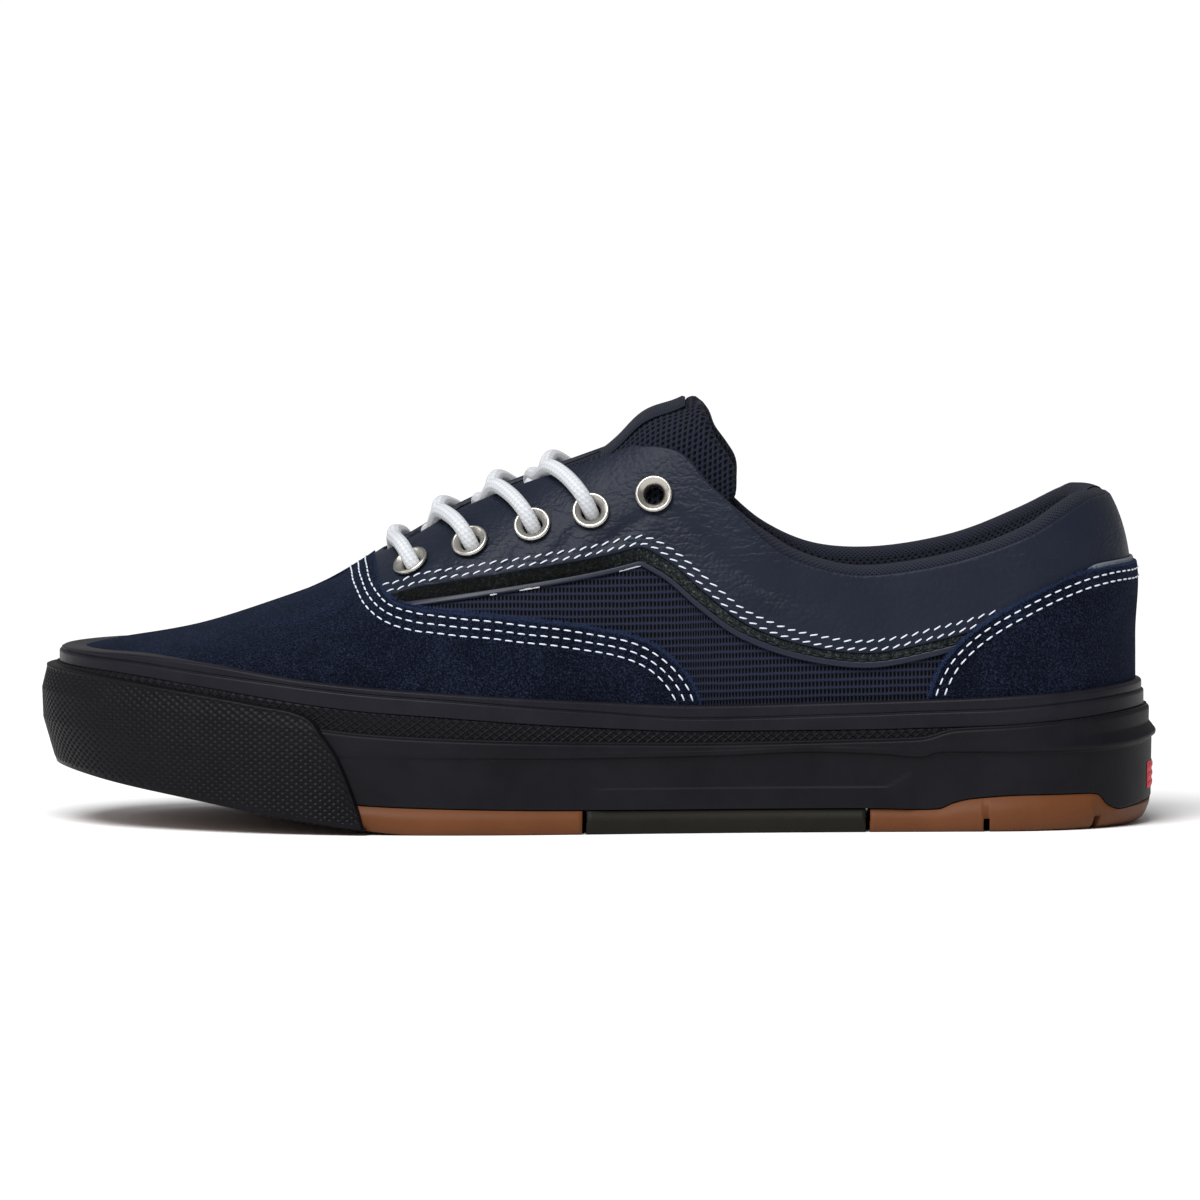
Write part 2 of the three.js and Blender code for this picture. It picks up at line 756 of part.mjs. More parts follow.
function laceOverEdge(side, along) {
  const half = ballWidth * read(throat, "half", along);
  const around = aroundOf(along, side);
  const beside = (up) => Math.abs(lastPoint(around, up, 0).y - middleAt(along));
  const up = upWhile((share) => beside(share) > half);
  return skin(around, up, seatOfEyelet + laceRadius + 5 * clearance);
}

// A point over the tongue, some share of the way from the middle to the eyestay's edge.
function overTongue(along, share, lift) {
  const half = ballWidth * read(throat, "half", along) * Math.abs(share);
  const around = aroundOf(along, share);
  const beside = (up) => Math.abs(lastPoint(around, up, tongueSink).y - middleAt(along));
  const up = upWhile((share) => beside(share) > half);
  return skin(around, up, lift - wall, tongueSink);
}

const onTongue = laceRadius + 2 * clearance;

function laceBar() {
  const along = eyelets[0][0];
  return cord([
    laceStart(places.left[0]),
    laceOverEdge(-1, along - 0.004),
    overTongue(along - 0.006, 0.3, onTongue + 1.8 * laceRadius),
    laceOverEdge(1, along - 0.004),
    laceStart(places.right[0]),
  ]);
}

// Two strands that cross over the tongue, each from an eyelet over the eyestay's edge.
function laceCross(i) {
  const [above, below] = [eyelets[i][0], eyelets[i - 1][0]];
  const at = (share) => above + share * (below - above);
  const strand = (side, place) =>
    cord([
      laceStart(place),
      laceOverEdge(side, at(0.34)),
      overTongue(at(0.6), 0.35 * side, onTongue + laceRadius),
      overTongue(at(0.9), -0.5 * side, onTongue),
    ]);
  return strand(-1, places.left[i]).add(strand(1, places.right[i]));
}

const colours = {
  rubber: { color: 0x17171a, roughness: 0.6 },
  gum: { color: 0x9c5f38, roughness: 0.55 },
  olive: { color: 0x2b2d26, roughness: 0.6 },
  red: { color: 0xa8141c, roughness: 0.5 },
  mesh: { color: 0x0d1222, roughness: 0.9 },
  suede: { color: 0x111a35, roughness: 1 },
  leather: { color: 0x171d2b, roughness: 0.5 },
  lining: { color: 0x10141f, roughness: 0.9 },
  metal: { color: 0xbdb9ad, roughness: 0.35, metalness: 1 },
  lace: { color: 0xe8e8e8, roughness: 0.9 },
};

const shoe = new THREE.Group();

function add(name, solid, finish) {
  const mesh = solid.getMesh();
  const geometry = new THREE.BufferGeometry();
  geometry.setAttribute("position", new THREE.BufferAttribute(mesh.vertProperties, mesh.numProp));
  geometry.setIndex(new THREE.BufferAttribute(mesh.triVerts, 1));
  const flat = geometry.toNonIndexed();
  flat.computeVertexNormals();
  const piece = new THREE.Mesh(flat, new THREE.MeshStandardMaterial(colours[finish]));
  piece.name = name;
  shoe.add(piece);
}

add("outsole_forefoot", outsoleForefoot(), "gum");
add("outsole_arch", outsoleArch(), "olive");
add("outsole_heel", outsoleHeel(), "gum");
add("midsole", midsole(), "rubber");
add("toe_bumper", toeBumper(), "rubber");
add("foxing_band", foxingBand(), "rubber");
add("heel_tab", heelTab(), "red");
add("insole", insole(), "lining");
add("upper", upper(), "mesh");
add("vamp_overlay", vampOverlay(), "suede");
add("collar_overlay", collarOverlay(), "leather");
add("heel_counter", heelCounter(), "suede");
add("tongue", tongue(), "mesh");
add("tongue_label", tongueLabel(), "leather");
add("lace_bar", laceBar(), "lace");
for (const i of [1, 2, 3]) add(`lace_cross_${i}`, laceCross(i), "lace");
for (const side of Object.keys(sides)) {
  places[side].forEach((place, i) => add(`eyelet_${side}_${i + 1}`, eyeletRing(place), "metal"));
}

export default shoe;
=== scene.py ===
"""A low lace-up skateboarding shoe: its visible surfaces, finishes, light and camera.

Metres, +Z up. The toe points along -X and the outer side of the foot is at -Y.
"""

import math

import bmesh
import bpy
import numpy as np
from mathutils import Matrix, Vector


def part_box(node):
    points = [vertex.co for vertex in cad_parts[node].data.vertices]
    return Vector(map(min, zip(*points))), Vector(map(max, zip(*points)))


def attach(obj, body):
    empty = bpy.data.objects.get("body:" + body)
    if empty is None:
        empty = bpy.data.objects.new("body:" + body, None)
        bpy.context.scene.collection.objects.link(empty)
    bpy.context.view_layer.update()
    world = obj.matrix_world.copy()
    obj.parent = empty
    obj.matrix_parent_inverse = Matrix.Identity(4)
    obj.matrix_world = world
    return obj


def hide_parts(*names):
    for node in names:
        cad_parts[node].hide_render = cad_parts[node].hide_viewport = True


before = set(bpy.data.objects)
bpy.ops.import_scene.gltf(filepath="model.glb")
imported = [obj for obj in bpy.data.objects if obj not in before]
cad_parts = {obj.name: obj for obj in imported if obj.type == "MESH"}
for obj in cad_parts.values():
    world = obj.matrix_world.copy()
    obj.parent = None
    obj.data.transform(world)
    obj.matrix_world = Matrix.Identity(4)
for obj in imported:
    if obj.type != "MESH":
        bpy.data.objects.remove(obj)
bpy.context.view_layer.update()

bl_info = {
    "name": "Skateboarding shoe",
    "version": (1, 0, 0),
    "blender": (4, 5, 0),
    "location": "3D View > Sidebar > Shoe",
    "description": "Makes the upper, sole, laces and finishes of a skateboarding shoe",
    "category": "Add Mesh",
}

MM = 0.001


def table(columns, *rows):
    """Named columns of numbers from a few rows."""
    return dict(zip(columns.split(), np.array(rows, float).T))


# The last. Shift and half are shares of the ball width, and crown is the height above the
# cup's rim as a share of the upper's height. Side, top and lean shape a section.
LAST = table(
    "at shift half crown side top lean",
    (0, 0.049, 0.465, 0.023, 0.55, 0.6, 0),
    (0.026, 0.045, 0.468, 0.041, 0.55, 0.6, 0),
    (0.074, 0.039, 0.472, 0.076, 0.55, 0.6, 0.02),
    (0.12, 0.033, 0.477, 0.122, 0.56, 0.6, 0.05),
    (0.187, 0.017, 0.489, 0.217, 0.57, 0.55, 0.12),
    (0.24, 0.003, 0.498, 0.302, 0.58, 0.5, 0.18),
    (0.291, -0.011, 0.5, 0.408, 0.6, 0.47, 0.24),
    (0.33, -0.021, 0.496, 0.493, 0.62, 0.48, 0.28),
    (0.37, -0.031, 0.486, 0.581, 0.66, 0.5, 0.29),
    (0.42, -0.039, 0.468, 0.667, 0.7, 0.54, 0.28),
    (0.5, -0.045, 0.428, 0.794, 0.78, 0.64, 0.25),
    (0.56, -0.043, 0.402, 0.913, 0.82, 0.7, 0.2),
    (0.63, -0.037, 0.382, 1.005, 0.85, 0.8, 0.12),
    (0.7, -0.029, 0.37, 1.004, 0.85, 0.85, 0.07),
    (0.8, -0.019, 0.362, 1, 0.85, 0.85, 0.05),
    (0.9, -0.011, 0.36, 0.99, 0.85, 0.85, 0.05),
    (1, -0.011, 0.356, 0.958, 0.85, 0.85, 0.05),
)

# The sole, from the tread up. Heights are shares of the sole height; groove is a share of
# the foxing band.
SOLE = table(
    "at ground split seat ledge strip rim band groove",
    (0, 0.398, 0.55, 0.675, 0.7, 0.9, 1.08, 1.185, 0.8),
    (0.05, 0.315, 0.47, 0.62, 0.65, 0.862, 1.056, 1.188, 0.62),
    (0.12, 0.222, 0.38, 0.55, 0.6, 0.812, 0.99, 1.147, 0.57),
    (0.215, 0.095, 0.265, 0.475, 0.538, 0.725, 0.885, 1.044, 0.7),
    (0.274, 0.034, 0.205, 0.45, 0.512, 0.675, 0.835, 0.998, 0.7),
    (0.33, 0, 0.18, 0.44, 0.505, 0.65, 0.805, 0.968, 0.7),
    (0.48, 0, 0.145, 0.45, 0.49, 0.615, 0.725, 0.9, 0.6),
    (0.593, 0, 0.145, 0.485, 0.485, 0.602, 0.688, 0.862, 0.49),
    (0.753, 0, 0.132, 0.535, 0.505, 0.62, 0.692, 0.882, 0.54),
    (0.8, 0, 0.138, 0.545, 0.515, 0.63, 0.7, 0.89, 0.56),
    (0.835, 0, 0.215, 0.552, 0.54, 0.69, 0.705, 0.898, 0.56),
    (0.877, 0, 0.235, 0.558, 0.548, 0.705, 0.715, 0.91, 0.55),
    (0.954, 0, 0.275, 0.56, 0.6, 0.75, 0.76, 0.94, 0.6),
    (0.97, 0, 0.26, 0.56, 0.61, 0.765, 0.775, 0.955, 0.6),
    (0.988, 0, 0.18, 0.56, 0.625, 0.782, 0.79, 0.968, 0.6),
    (1, 0, 0.195, 0.56, 0.63, 0.792, 0.8, 0.975, 0.6),
)

# Finer edges of the cup as seen from the side: its lower edge on the pads, and the ledge
# under its upper band, as shares of the sole height.
CUP = table(
    "at split ledge",
    (0, 0.55, 0.7),
    (0.05, 0.47, 0.65),
    (0.12, 0.38, 0.6),
    (0.215, 0.27, 0.545),
    (0.28, 0.203, 0.532),
    (0.36, 0.182, 0.528),
    (0.47, 0.168, 0.522),
    (0.6, 0.165, 0.53),
    (0.7, 0.165, 0.552),
    (0.76, 0.163, 0.536),
    (0.802, 0.156, 0.512),
    (0.818, 0.16, 0.546),
    (0.832, 0.2, 0.548),
    (0.85, 0.228, 0.548),
    (0.9, 0.25, 0.546),
    (0.95, 0.25, 0.55),
    (0.958, 0.24, 0.552),
    (0.966, 0.165, 0.556),
    (0.976, 0.132, 0.562),
    (0.988, 0.15, 0.575),
    (1, 0.18, 0.6),
)

# How far out the cup wall stands at each of its steps, and how far the tread's edge is
# bevelled, as shares of the side wall.
WALL_STEPS = table(
    "at foot ledge shelf shelf_top strip rim bevel",
    (0, 0.62, 1.17, 1.19, 1.23, 1.2, 0.98, 0.25),
    (0.1, 0.82, 1.06, 1.06, 1.08, 1.04, 0.86, 0.25),
    (0.2, 0.98, 1, 1, 1, 0.85, 0.8, 0.25),
    (0.26, 1, 1, 1, 1, 0.72, 0.72, 0.25),
    (0.36, 1, 1, 1.08, 1.05, 0.72, 0.72, 0.25),
    (0.5, 1, 1, 1.15, 1.1, 0.72, 0.72, 0.25),
    (0.78, 1, 1, 1.15, 1.1, 0.72, 0.72, 0.25),
    (0.9, 1, 1.04, 1.2, 1.1, 0.8, 0.8, 0.4),
    (0.97, 1.05, 1.12, 1.28, 1.04, 0.88, 0.86, 0.8),
    (1, 1.14, 1.19, 1.35, 1, 0.92, 0.9, 1),
)

# Half width of the throat, as a share of the ball width.
THROAT = table(
    "at half",
    (0.294, 0.02),
    (0.3, 0.078),
    (0.33, 0.11),
    (0.368, 0.13),
    (0.405, 0.146),
    (0.445, 0.165),
    (0.498, 0.19),
    (0.54, 0.21),
    (0.568, 0.224),
    (0.66, 0.285),
)

# Side-view outlines of the panels: a share of the last's length, and of the upper's
# height. The collar's edge has a height for each side of the foot.
TOPLINE = {
    -1: [
        (0.505, 0.85), (0.528, 0.786), (0.556, 0.779), (0.573, 0.768), (0.586, 0.738),
        (0.598, 0.694), (0.613, 0.652), (0.63, 0.608), (0.651, 0.56), (0.687, 0.497),
        (0.736, 0.46), (0.784, 0.466), (0.845, 0.501), (0.906, 0.561), (0.946, 0.618),
        (0.968, 0.646), (0.988, 0.66), (1.06, 0.663),
    ],
    1: [
        (0.505, 0.85), (0.53, 0.79), (0.557, 0.775), (0.573, 0.757), (0.59, 0.712), (0.62, 0.62),
        (0.655, 0.533), (0.7, 0.478), (0.76, 0.467), (0.832, 0.501), (0.9, 0.57), (0.958, 0.641),
        (0.985, 0.663), (1.06, 0.663),
    ],
}
VAMP_SIDE = [(0.6, -0.007), (0.587, 0.123), (0.552, 0.229), (0.5, 0.278), (0.41, 0.312), (0.33, 0.332)]
VAMP_FRONT = [(0.33, 0.332), (0.299, 0.362), (0.286, 0.458), (0.285, 0.677)]
PANEL_RISE = [(0.27, 0.311), (0.334, 0.341), (0.443, 0.393), (0.5, 0.424), (0.537, 0.451)]
PANEL_SWEEP = [
    (0.537, 0.451), (0.562, 0.408), (0.592, 0.331), (0.632, 0.248), (0.69, 0.188),
    (0.756, 0.166), (0.824, 0.204), (0.88, 0.25),
]
# Along the panel's line, in millimetres above it: where the piping ends, the leather
# begins, and the near and the far row of stitches run.
STRIPS = table(
    "at piping leather near far",
    (0.27, 1.3, 3, 3.9, 5.6),
    (0.306, 1.4, 3.4, 4.3, 6),
    (0.335, 1.5, 4.5, 5.7, 7.5),
    (0.42, 1.5, 4.7, 6.2, 8),
    (0.53, 1.5, 4.5, 6.1, 8),
    (0.57, 1.6, 4.1, 5.6, 7.7),
    (0.65, 1.9, 3.7, 5.1, 7.3),
    (0.9, 1.9, 3.7, 5.1, 7.3),
)
COUNTER_EDGE = [
    (0.808, -0.007), (0.808, 0.08), (0.827, 0.202), (0.87, 0.309), (0.93, 0.401), (0.977, 0.441),
    (1.06, 0.441),
]
# The bumper's outline has its heights as shares of the sole height.
BUMPER_EDGE = [
    (0.28, -0.1), (0.2765, 0.07), (0.271, 0.215), (0.2605, 0.415), (0.251, 0.56), (0.2385, 0.69),
    (0.2285, 0.785), (0.21, 0.842), (0.187, 0.87), (0.16, 0.905), (0.123, 0.948), (0.068, 1.01),
    (0.028, 1.05), (0, 1.07), (-0.08, 1.13),
]
TONGUE_END = [
    (0.575, 1.039), (0.586, 0.94), (0.5985, 0.872), (0.605, 0.823), (0.616, 0.776),
    (0.625, 0.733), (0.6275, 0.692), (0.6245, 0.638), (0.608, 0.588), (0.57, 0.53),
]
TONGUE_FOOT = [(0.22, 0.38), (0.43, 0.419), (0.6, 0.535), (0.66, 0.6)]

# Eyelets from the toe up: a share of the length, and of the upper's height.
EYELETS = [(0.3225, 0.444), (0.3775, 0.505), (0.4358, 0.556), (0.4908, 0.598), (0.5505, 0.648)]
SIDES = {"left": -1, "right": 1}

# Soft creases of the upper: the side (0 for both), where the trough lies
# along the length and up the upper, its direction in degrees, its length, width and depth.
CREASES = table(
    "side at up turn length width depth",
    (0, 0.262, 0.3, 96, 0.034, 0.0055, 0.0007),
    (0, 0.232, 0.2, 84, 0.03, 0.006, 0.0003),
    (-1, 0.345, 0.41, 62, 0.006, 0.0016, 0.0004),
    (-1, 0.405, 0.455, 55, 0.007, 0.0016, 0.0005),
    (-1, 0.462, 0.5, 48, 0.008, 0.0017, 0.0005),
    (-1, 0.52, 0.545, 35, 0.009, 0.0018, 0.0006),
    (1, 0.35, 0.42, 58, 0.006, 0.0016, 0.0004),
    (1, 0.44, 0.48, 50, 0.008, 0.0017, 0.0005),
    (1, 0.52, 0.55, 38, 0.009, 0.0018, 0.0006),
    (-1, 0.6, 0.52, -38, 0.016, 0.0024, 0.0006),
    (-1, 0.618, 0.455, -30, 0.012, 0.002, 0.0004),
    (1, 0.606, 0.5, -36, 0.014, 0.0022, 0.0006),
    (0, 0.66, 0.4, -20, 0.02, 0.004, 0.0005),
    (-1, 0.86, 0.24, 80, 0.012, 0.004, 0.0004),
    (1, 0.87, 0.22, 76, 0.012, 0.004, 0.0004),
)


def length(name, default, description):
    return bpy.props.FloatProperty(
        name=name, description=description, default=default, unit="LENGTH", precision=4
    )


def share(name, default, description):
    return bpy.props.FloatProperty(
        name=name, description=description, default=default, subtype="FACTOR", precision=3
    )


def colour(name, default, description):
    return bpy.props.FloatVectorProperty(
        name=name,
        description=description,
        default=(*default, 1.0),
        size=4,
        subtype="COLOR",
        min=0.0,
        max=1.0,
    )


class ShoeForm(bpy.types.PropertyGroup):
    """Sizes of the last, the wall and the panels on it."""

    last_length: length("Last length", 0.285, "Closed upper, toe tip to back of heel")
    last_middle: length("Last middle", 0.0008, "Middle of the last's length, along X")
    ball_width: length("Ball width", 0.101, "Closed upper, across the ball")
    upper_height: length("Upper height", 0.096, "Cup's rim to the crown over the instep")
    sole_height: length("Sole height", 0.04, "Floor to the top of the foxing at the heel")
    toe_round: share("Toe round", 0.24, "Share of the length that rounds the toe")
    heel_round: share("Heel round", 0.14, "Share of the length that rounds the heel")
    heel_tuck: length("Heel tuck", 0.0124, "How far the back leans in")
    tuck_top: share("Tuck top", 0.7, "Share of the height where the back has leaned in")
    toe_tuck: length("Toe tuck", 0.003, "How far the toe leans back at its crown")
    wall: length("Wall", 0.0026, "Fabric and lining")
    collar_pad: length("Collar pad", 0.0034, "Foam added inside the collar")
    tongue_sink: length("Tongue sink", 0.0035, "Tongue's crown below the eyestays' curve")
    tongue_thickness: length("Tongue thickness", 0.005, "Padded tongue")
    clearance: length("Clearance", 0.0003, "Between pieces that touch")
    suede: length("Suede", 0.0015, "Vamp and heel counter")
    leather: length("Leather", 0.001, "Eyestay and collar panel")
    binding: length("Binding", 0.003, "Knitted edge above the leather")
    piping: length("Piping", 0.0007, "Thickness of the strip on the panel's lower edge")
    raw_edge: length("Raw edge", 0.00055, "Thickness of the rough strip beside it")
    insole: length("Insole", 0.0045, "Insole's thickness")


class ShoeSole(bpy.types.PropertyGroup):
    """Sizes of the rubber pieces."""

    side_wall: length("Side wall", 0.0052, "Cup wall outside the closed upper")
    foxing: length("Foxing", 0.004, "Foxing band outside the closed upper")
    foxing_step: length("Foxing step", 0.0006, "Band's upper part, behind its lower part")
    line_depth: length("Line depth", 0.0007, "Line round the foxing band")
    bumper_proud: length("Bumper", 0.0022, "Toe bumper outside the cup wall")
    edge: length("Edge", 0.0006, "Rounded edges of the rubber")
    knurl: length("Knurl", 0.0019, "Pitch of the bumper's diamonds")
    knurl_height: length("Knurl height", 0.00028, "Height of the bumper's diamonds")
    groove_width: length("Groove width", 0.0024, "Grooves of the tread")
    tread_depth: length("Tread depth", 0.0022, "Depth of the grooves")
    tread_pitch: length("Tread pitch", 0.017, "Blocks of the tread")
    notch_width: length("Notch width", 0.0016, "Slots across the heel pad")
    notch_depth: length("Notch depth", 0.0036, "Depth of those slots")
    tread_border: length("Tread border", 0.003, "Plain rim round the tread")
    pad_gap: length("Pad gap", 0.0012, "Slot between two outsole pads")
    bevel: length("Bevel", 0.0015, "Rounded edge of the tread")


class ShoeTrim(bpy.types.PropertyGroup):
    """Sizes of eyelets, laces and stitches."""

    lace: length("Lace", 0.002, "Lace's radius")
    hole: length("Eyelet hole", 0.0026, "Radius of the hole")
    metal: length("Eyelet metal", 0.0005, "Barrel's thickness")
    flange: length("Eyelet rim", 0.002, "Flange beyond the barrel")
    rise: length("Eyelet height", 0.0013, "How far the flange stands up")
    thread: length("Thread", 0.00022, "Thread's radius")
    stitch: length("Stitch", 0.0021, "Length of a stitch")
    stitch_gap: length("Stitch gap", 0.00095, "From one stitch to the next")
    slant: length("Slant", 0.0007, "How far a slanted stitch crosses its row")


class ShoeColours(bpy.types.PropertyGroup):
    """Base colours of the finishes."""

    suede: colour("Suede", (0.0044, 0.0059, 0.0126), "Napped suede")
    leather: colour("Leather", (0.0088, 0.0117, 0.0213), "Tumbled leather")
    mesh: colour("Mesh", (0.0068, 0.0085, 0.0172), "Waffle mesh")
    lining: colour("Lining", (0.0125, 0.0142, 0.0235), "Knitted lining")
    rubber: colour("Rubber", (0.004, 0.0038, 0.0058), "Moulded rubber")
    gum: colour("Gum", (0.1, 0.0345, 0.0125), "Gum rubber")
    olive: colour("Olive", (0.0072, 0.0067, 0.0046), "Arch rubber")
    red: colour("Red", (0.5, 0.012, 0.02), "Heel patch")
    metal: colour("Metal", (0.46, 0.44, 0.4), "Satin nickel")
    lace: colour("Lace", (0.5, 0.515, 0.54), "White cord")
    thread: colour("Thread", (0.6, 0.65, 0.74), "White thread")
    piping: colour("Piping", (0.0075, 0.0105, 0.021), "Reflecting piping")
    floor: colour("Floor", (0.93, 0.93, 0.93), "Pale floor")


class ShoeStage(bpy.types.PropertyGroup):
    """Camera and light."""

    elevation: share("Elevation", 4.0, "Camera's height above the horizon, in degrees")
    distance: length("Distance", 14.0, "Camera to the shoe")
    view_width: length("View width", 0.3243, "Width of the picture at the shoe")
    aim_x: length("Aim X", 0.0004, "Middle of the picture along X")
    aim_z: length("Aim Z", 0.0597, "Middle of the picture's height")
    sky: share("Sky", 0.3, "Strength of the light from all round")
    sun: share("Overhead light", 3.35, "Strength of the wide light from above")
    key: share("Key light", 5.0, "Power of the soft light in front, in watts")
    fill: share("Fill light", 2.5, "Power of the light from the toe's side, in watts")


class Chosen:
    """One of the scene's groups, whose values are read at each use."""

    def __init__(self, group):
        self.group = group

    def __getattr__(self, name):
        return getattr(getattr(bpy.context.scene, self.group), name)


form = Chosen("shoe_form")
sole = Chosen("shoe_sole")
trim = Chosen("shoe_trim")
colours = Chosen("shoe_colours")
stage = Chosen("shoe_stage")


def read(rows, column, at):
    """A column at places along it, by cubics from row to row whose slope at a row is the
    harmonic mean of the rises on its two sides, and level where they differ in sign."""
    x, y = rows["at"], rows[column]
    rise = np.diff(y) / np.diff(x)
    before = np.concatenate([rise[:1], rise])
    after = np.concatenate([rise, rise[-1:]])
    both = before * after
    slope = np.where(both > 0, 2 * both / np.where(both > 0, before + after, 1), 0)
    at = np.asarray(at, float)
    i = np.clip(np.searchsorted(x, at) - 1, 0, len(x) - 2)
    span = x[i + 1] - x[i]
    u = np.clip((at - x[i]) / span, 0, 1)
    return (
        y[i] * (1 + 2 * u) * (1 - u) ** 2
        + y[i + 1] * u * u * (3 - 2 * u)
        + span * (slope[i] * u * (1 - u) ** 2 - slope[i + 1] * u * u * (1 - u))
    )


def smooth_step(x, low, high):
    t = np.clip((x - low) / (high - low), 0, 1)
    return t * t * (3 - 2 * t)


def curve(points, per_span=14):
    """A smooth line through points: on each span a cubic whose end slopes are half the
    step between the neighbours."""
    p = np.array(points, float)
    n = len(p) - 1
    t = np.linspace(0, n, n * per_span + 1)
    i = np.minimum(t.astype(int), n - 1)
    u = (t - i)[:, None]
    before, after = p[np.maximum(i - 1, 0)], p[np.minimum(i + 2, n)]
    a, b = p[i], p[i + 1]
    v, w = (b - before) / 2, (after - a) / 2
    return (2 * a - 2 * b + v + w) * u**3 + (3 * b - 3 * a - 2 * v - w) * u**2 + v * u + a


def length_at(at):
    return (np.asarray(at) - 0.5) * form.last_length + form.last_middle


def along_at(x):
    return (np.asarray(x) - form.last_middle) / form.last_length + 0.5


RIM_SHARE = 0.7
FEATHER = 0.12  # share of a section's run that stands straight in the sole


def on_upper(up):
    return RIM_SHARE * form.sole_height + np.asarray(up) * form.upper_height


def up_share(height):
    return (np.asarray(height) - RIM_SHARE * form.sole_height) / form.upper_height


def sole_at(column, along):
    return form.sole_height * read(SOLE, column, along)


def cup_at(column, along):
    return form.sole_height * read(CUP, column, along)


def step_at(column, along):
    return sole.side_wall * read(WALL_STEPS, column, along)


def middle_at(along):
    return form.ball_width * read(LAST, "shift", along)


def along_of(around):
    return (1 - np.cos(2 * np.pi * np.asarray(around))) / 2


def around_of(along, side):
    turn = np.arccos(np.clip(1 - 2 * np.asarray(along, float), -1, 1)) / (2 * np.pi)
    return np.where(np.asarray(side) < 0, turn, 1 - turn)


ROUND_POWER = 2.2


def half_width(along):
    """Half the last's width, drawn in round the toe and the heel by a power curve."""
    end = np.clip(np.minimum(along / form.toe_round, (1 - along) / form.heel_round), 0, 1)
    rounding = (1 - (1 - end) ** ROUND_POWER) ** (1 / ROUND_POWER)
    return form.ball_width * read(LAST, "half", along) * rounding


def last_point(around, up, sink=0.0):
    """A point of the closed upper. Around runs from the toe tip (0) along the outer side
    to the heel (0.5) and back; up runs from the feather line (0) to the crown (1). A
    section stands straight in the sole, then follows one cubic Bezier to the crown."""
    around, up = np.broadcast_arrays(np.asarray(around, float), np.asarray(up, float))
    turn = around - np.floor(around)
    side = np.where(turn < 0.5, -1.0, 1.0)
    along = along_of(turn)
    half = half_width(along)
    seat, root = sole_at("seat", along), sole_at("rim", along)
    drop = sink * (1 - smooth_step(along, 0.44, 0.53))
    crown = root + form.upper_height * read(LAST, "crown", along) - drop
    rise = read(LAST, "side", along) * (crown - root)
    shoulder = half - np.minimum(read(LAST, "lean", along) * rise, half / 2)
    t = np.clip((up - FEATHER) / (1 - FEATHER), 0, 1)
    flat = half * read(LAST, "top", along)
    b = [(1 - t) ** 3, 3 * t * (1 - t) ** 2, 3 * t * t * (1 - t), t**3]
    straight = seat + (root - seat) * np.minimum(up, FEATHER) / FEATHER
    curved = b[0] * root + b[1] * (root + rise) + (b[2] + b[3]) * crown
    height = np.where(up > FEATHER, curved, straight)
    beside = np.where(up > FEATHER, b[0] * half + b[1] * shoulder + b[2] * flat, half)
    reach = np.maximum(height - root, 0) / (crown - root)
    tuck = form.heel_tuck * np.minimum(reach / form.tuck_top, 1) ** 5 * along**8
    lean = form.toe_tuck * reach**2 * (1 - along) ** 12 - tuck
    return np.stack([length_at(along) + lean, middle_at(along) + side * beside, height], -1)


def unit(vectors):
    size = np.linalg.norm(vectors, axis=-1, keepdims=True)
    return vectors / np.maximum(size, 1e-12)


def run_along(points):
    """Distance along a line of points, from its first point."""
    return np.concatenate([[0], np.cumsum(np.linalg.norm(np.diff(points, axis=0), axis=1))])


def at_run(even, run, points):
    """A line's points, or other numbers kept for them, at distances along it."""
    return np.stack([np.interp(even, run, column) for column in points.T], -1)


def side_view(line):
    """A line of shares of length and height, in metres along X and Z."""
    return np.stack([length_at(line[:, 0]), on_upper(line[:, 1])], -1)


def gap_to(spots, line):
    """Least distance in side view from points to a line of straight pieces."""
    gap = np.full(spots.shape[:-1], 1.0)
    for a, b in zip(line[:-1], line[1:]):
        part = b - a
        t = np.clip(((spots - a) @ part) / (part @ part), 0, 1)
        gap = np.minimum(gap, np.linalg.norm(spots - a - t[..., None] * part, axis=-1))
    return gap


def skin_normal(around, up, sink=0.0):
    step = 1e-3
    around, up = np.broadcast_arrays(np.asarray(around, float), np.asarray(up, float))
    level = np.clip(up, 0.01, 0.985)
    onward = last_point(around + step, level, sink) - last_point(around - step, level, sink)
    upward = last_point(around, level + step, sink) - last_point(around, level - step, sink)
    normal = np.cross(onward, upward)
    normal[..., 1] = np.where(up > 0.999, 0, normal[..., 1])
    normal[..., 2] = np.where(up < FEATHER, 0, normal[..., 2])
    return unit(normal)


def skin(around, up, out=0.0, sink=0.0):
    """The closed upper's surface moved outwards along its normal."""
    out = np.asarray(out, float)[..., None]
    return last_point(around, up, sink) + skin_normal(around, up, sink) * out


def outline(around, out, height):
    """The sole's outline, a distance outside the feather line, at a height."""
    point, normal = last_point(around, 0.0), skin_normal(around, 0.0)
    x = point[..., 0] + normal[..., 0] * out
    y = point[..., 1] + normal[..., 1] * out
    return np.stack(np.broadcast_arrays(x, y, height), -1)


def solve(test, shape):
    """Halves the run from the feather line to the crown until a test stops holding."""
    low, high = np.full(shape, FEATHER), np.ones(shape)
    for _ in range(26):
        up = (low + high) / 2
        holds = test(up)
        low, high = np.where(holds, up, low), np.where(holds, high, up)
    return high


def up_at_height(around, height, sink=0.0):
    around, height = np.broadcast_arrays(np.asarray(around, float), np.asarray(height, float))
    return solve(lambda up: last_point(around, up, sink)[..., 2] < height, around.shape)


def up_beside(around, half, sink=0.0):
    around, half = np.broadcast_arrays(np.asarray(around, float), np.asarray(half, float))
    middle = middle_at(along_of(around))
    return solve(
        lambda up: np.abs(last_point(around, up, sink)[..., 1] - middle) > half, around.shape
    )


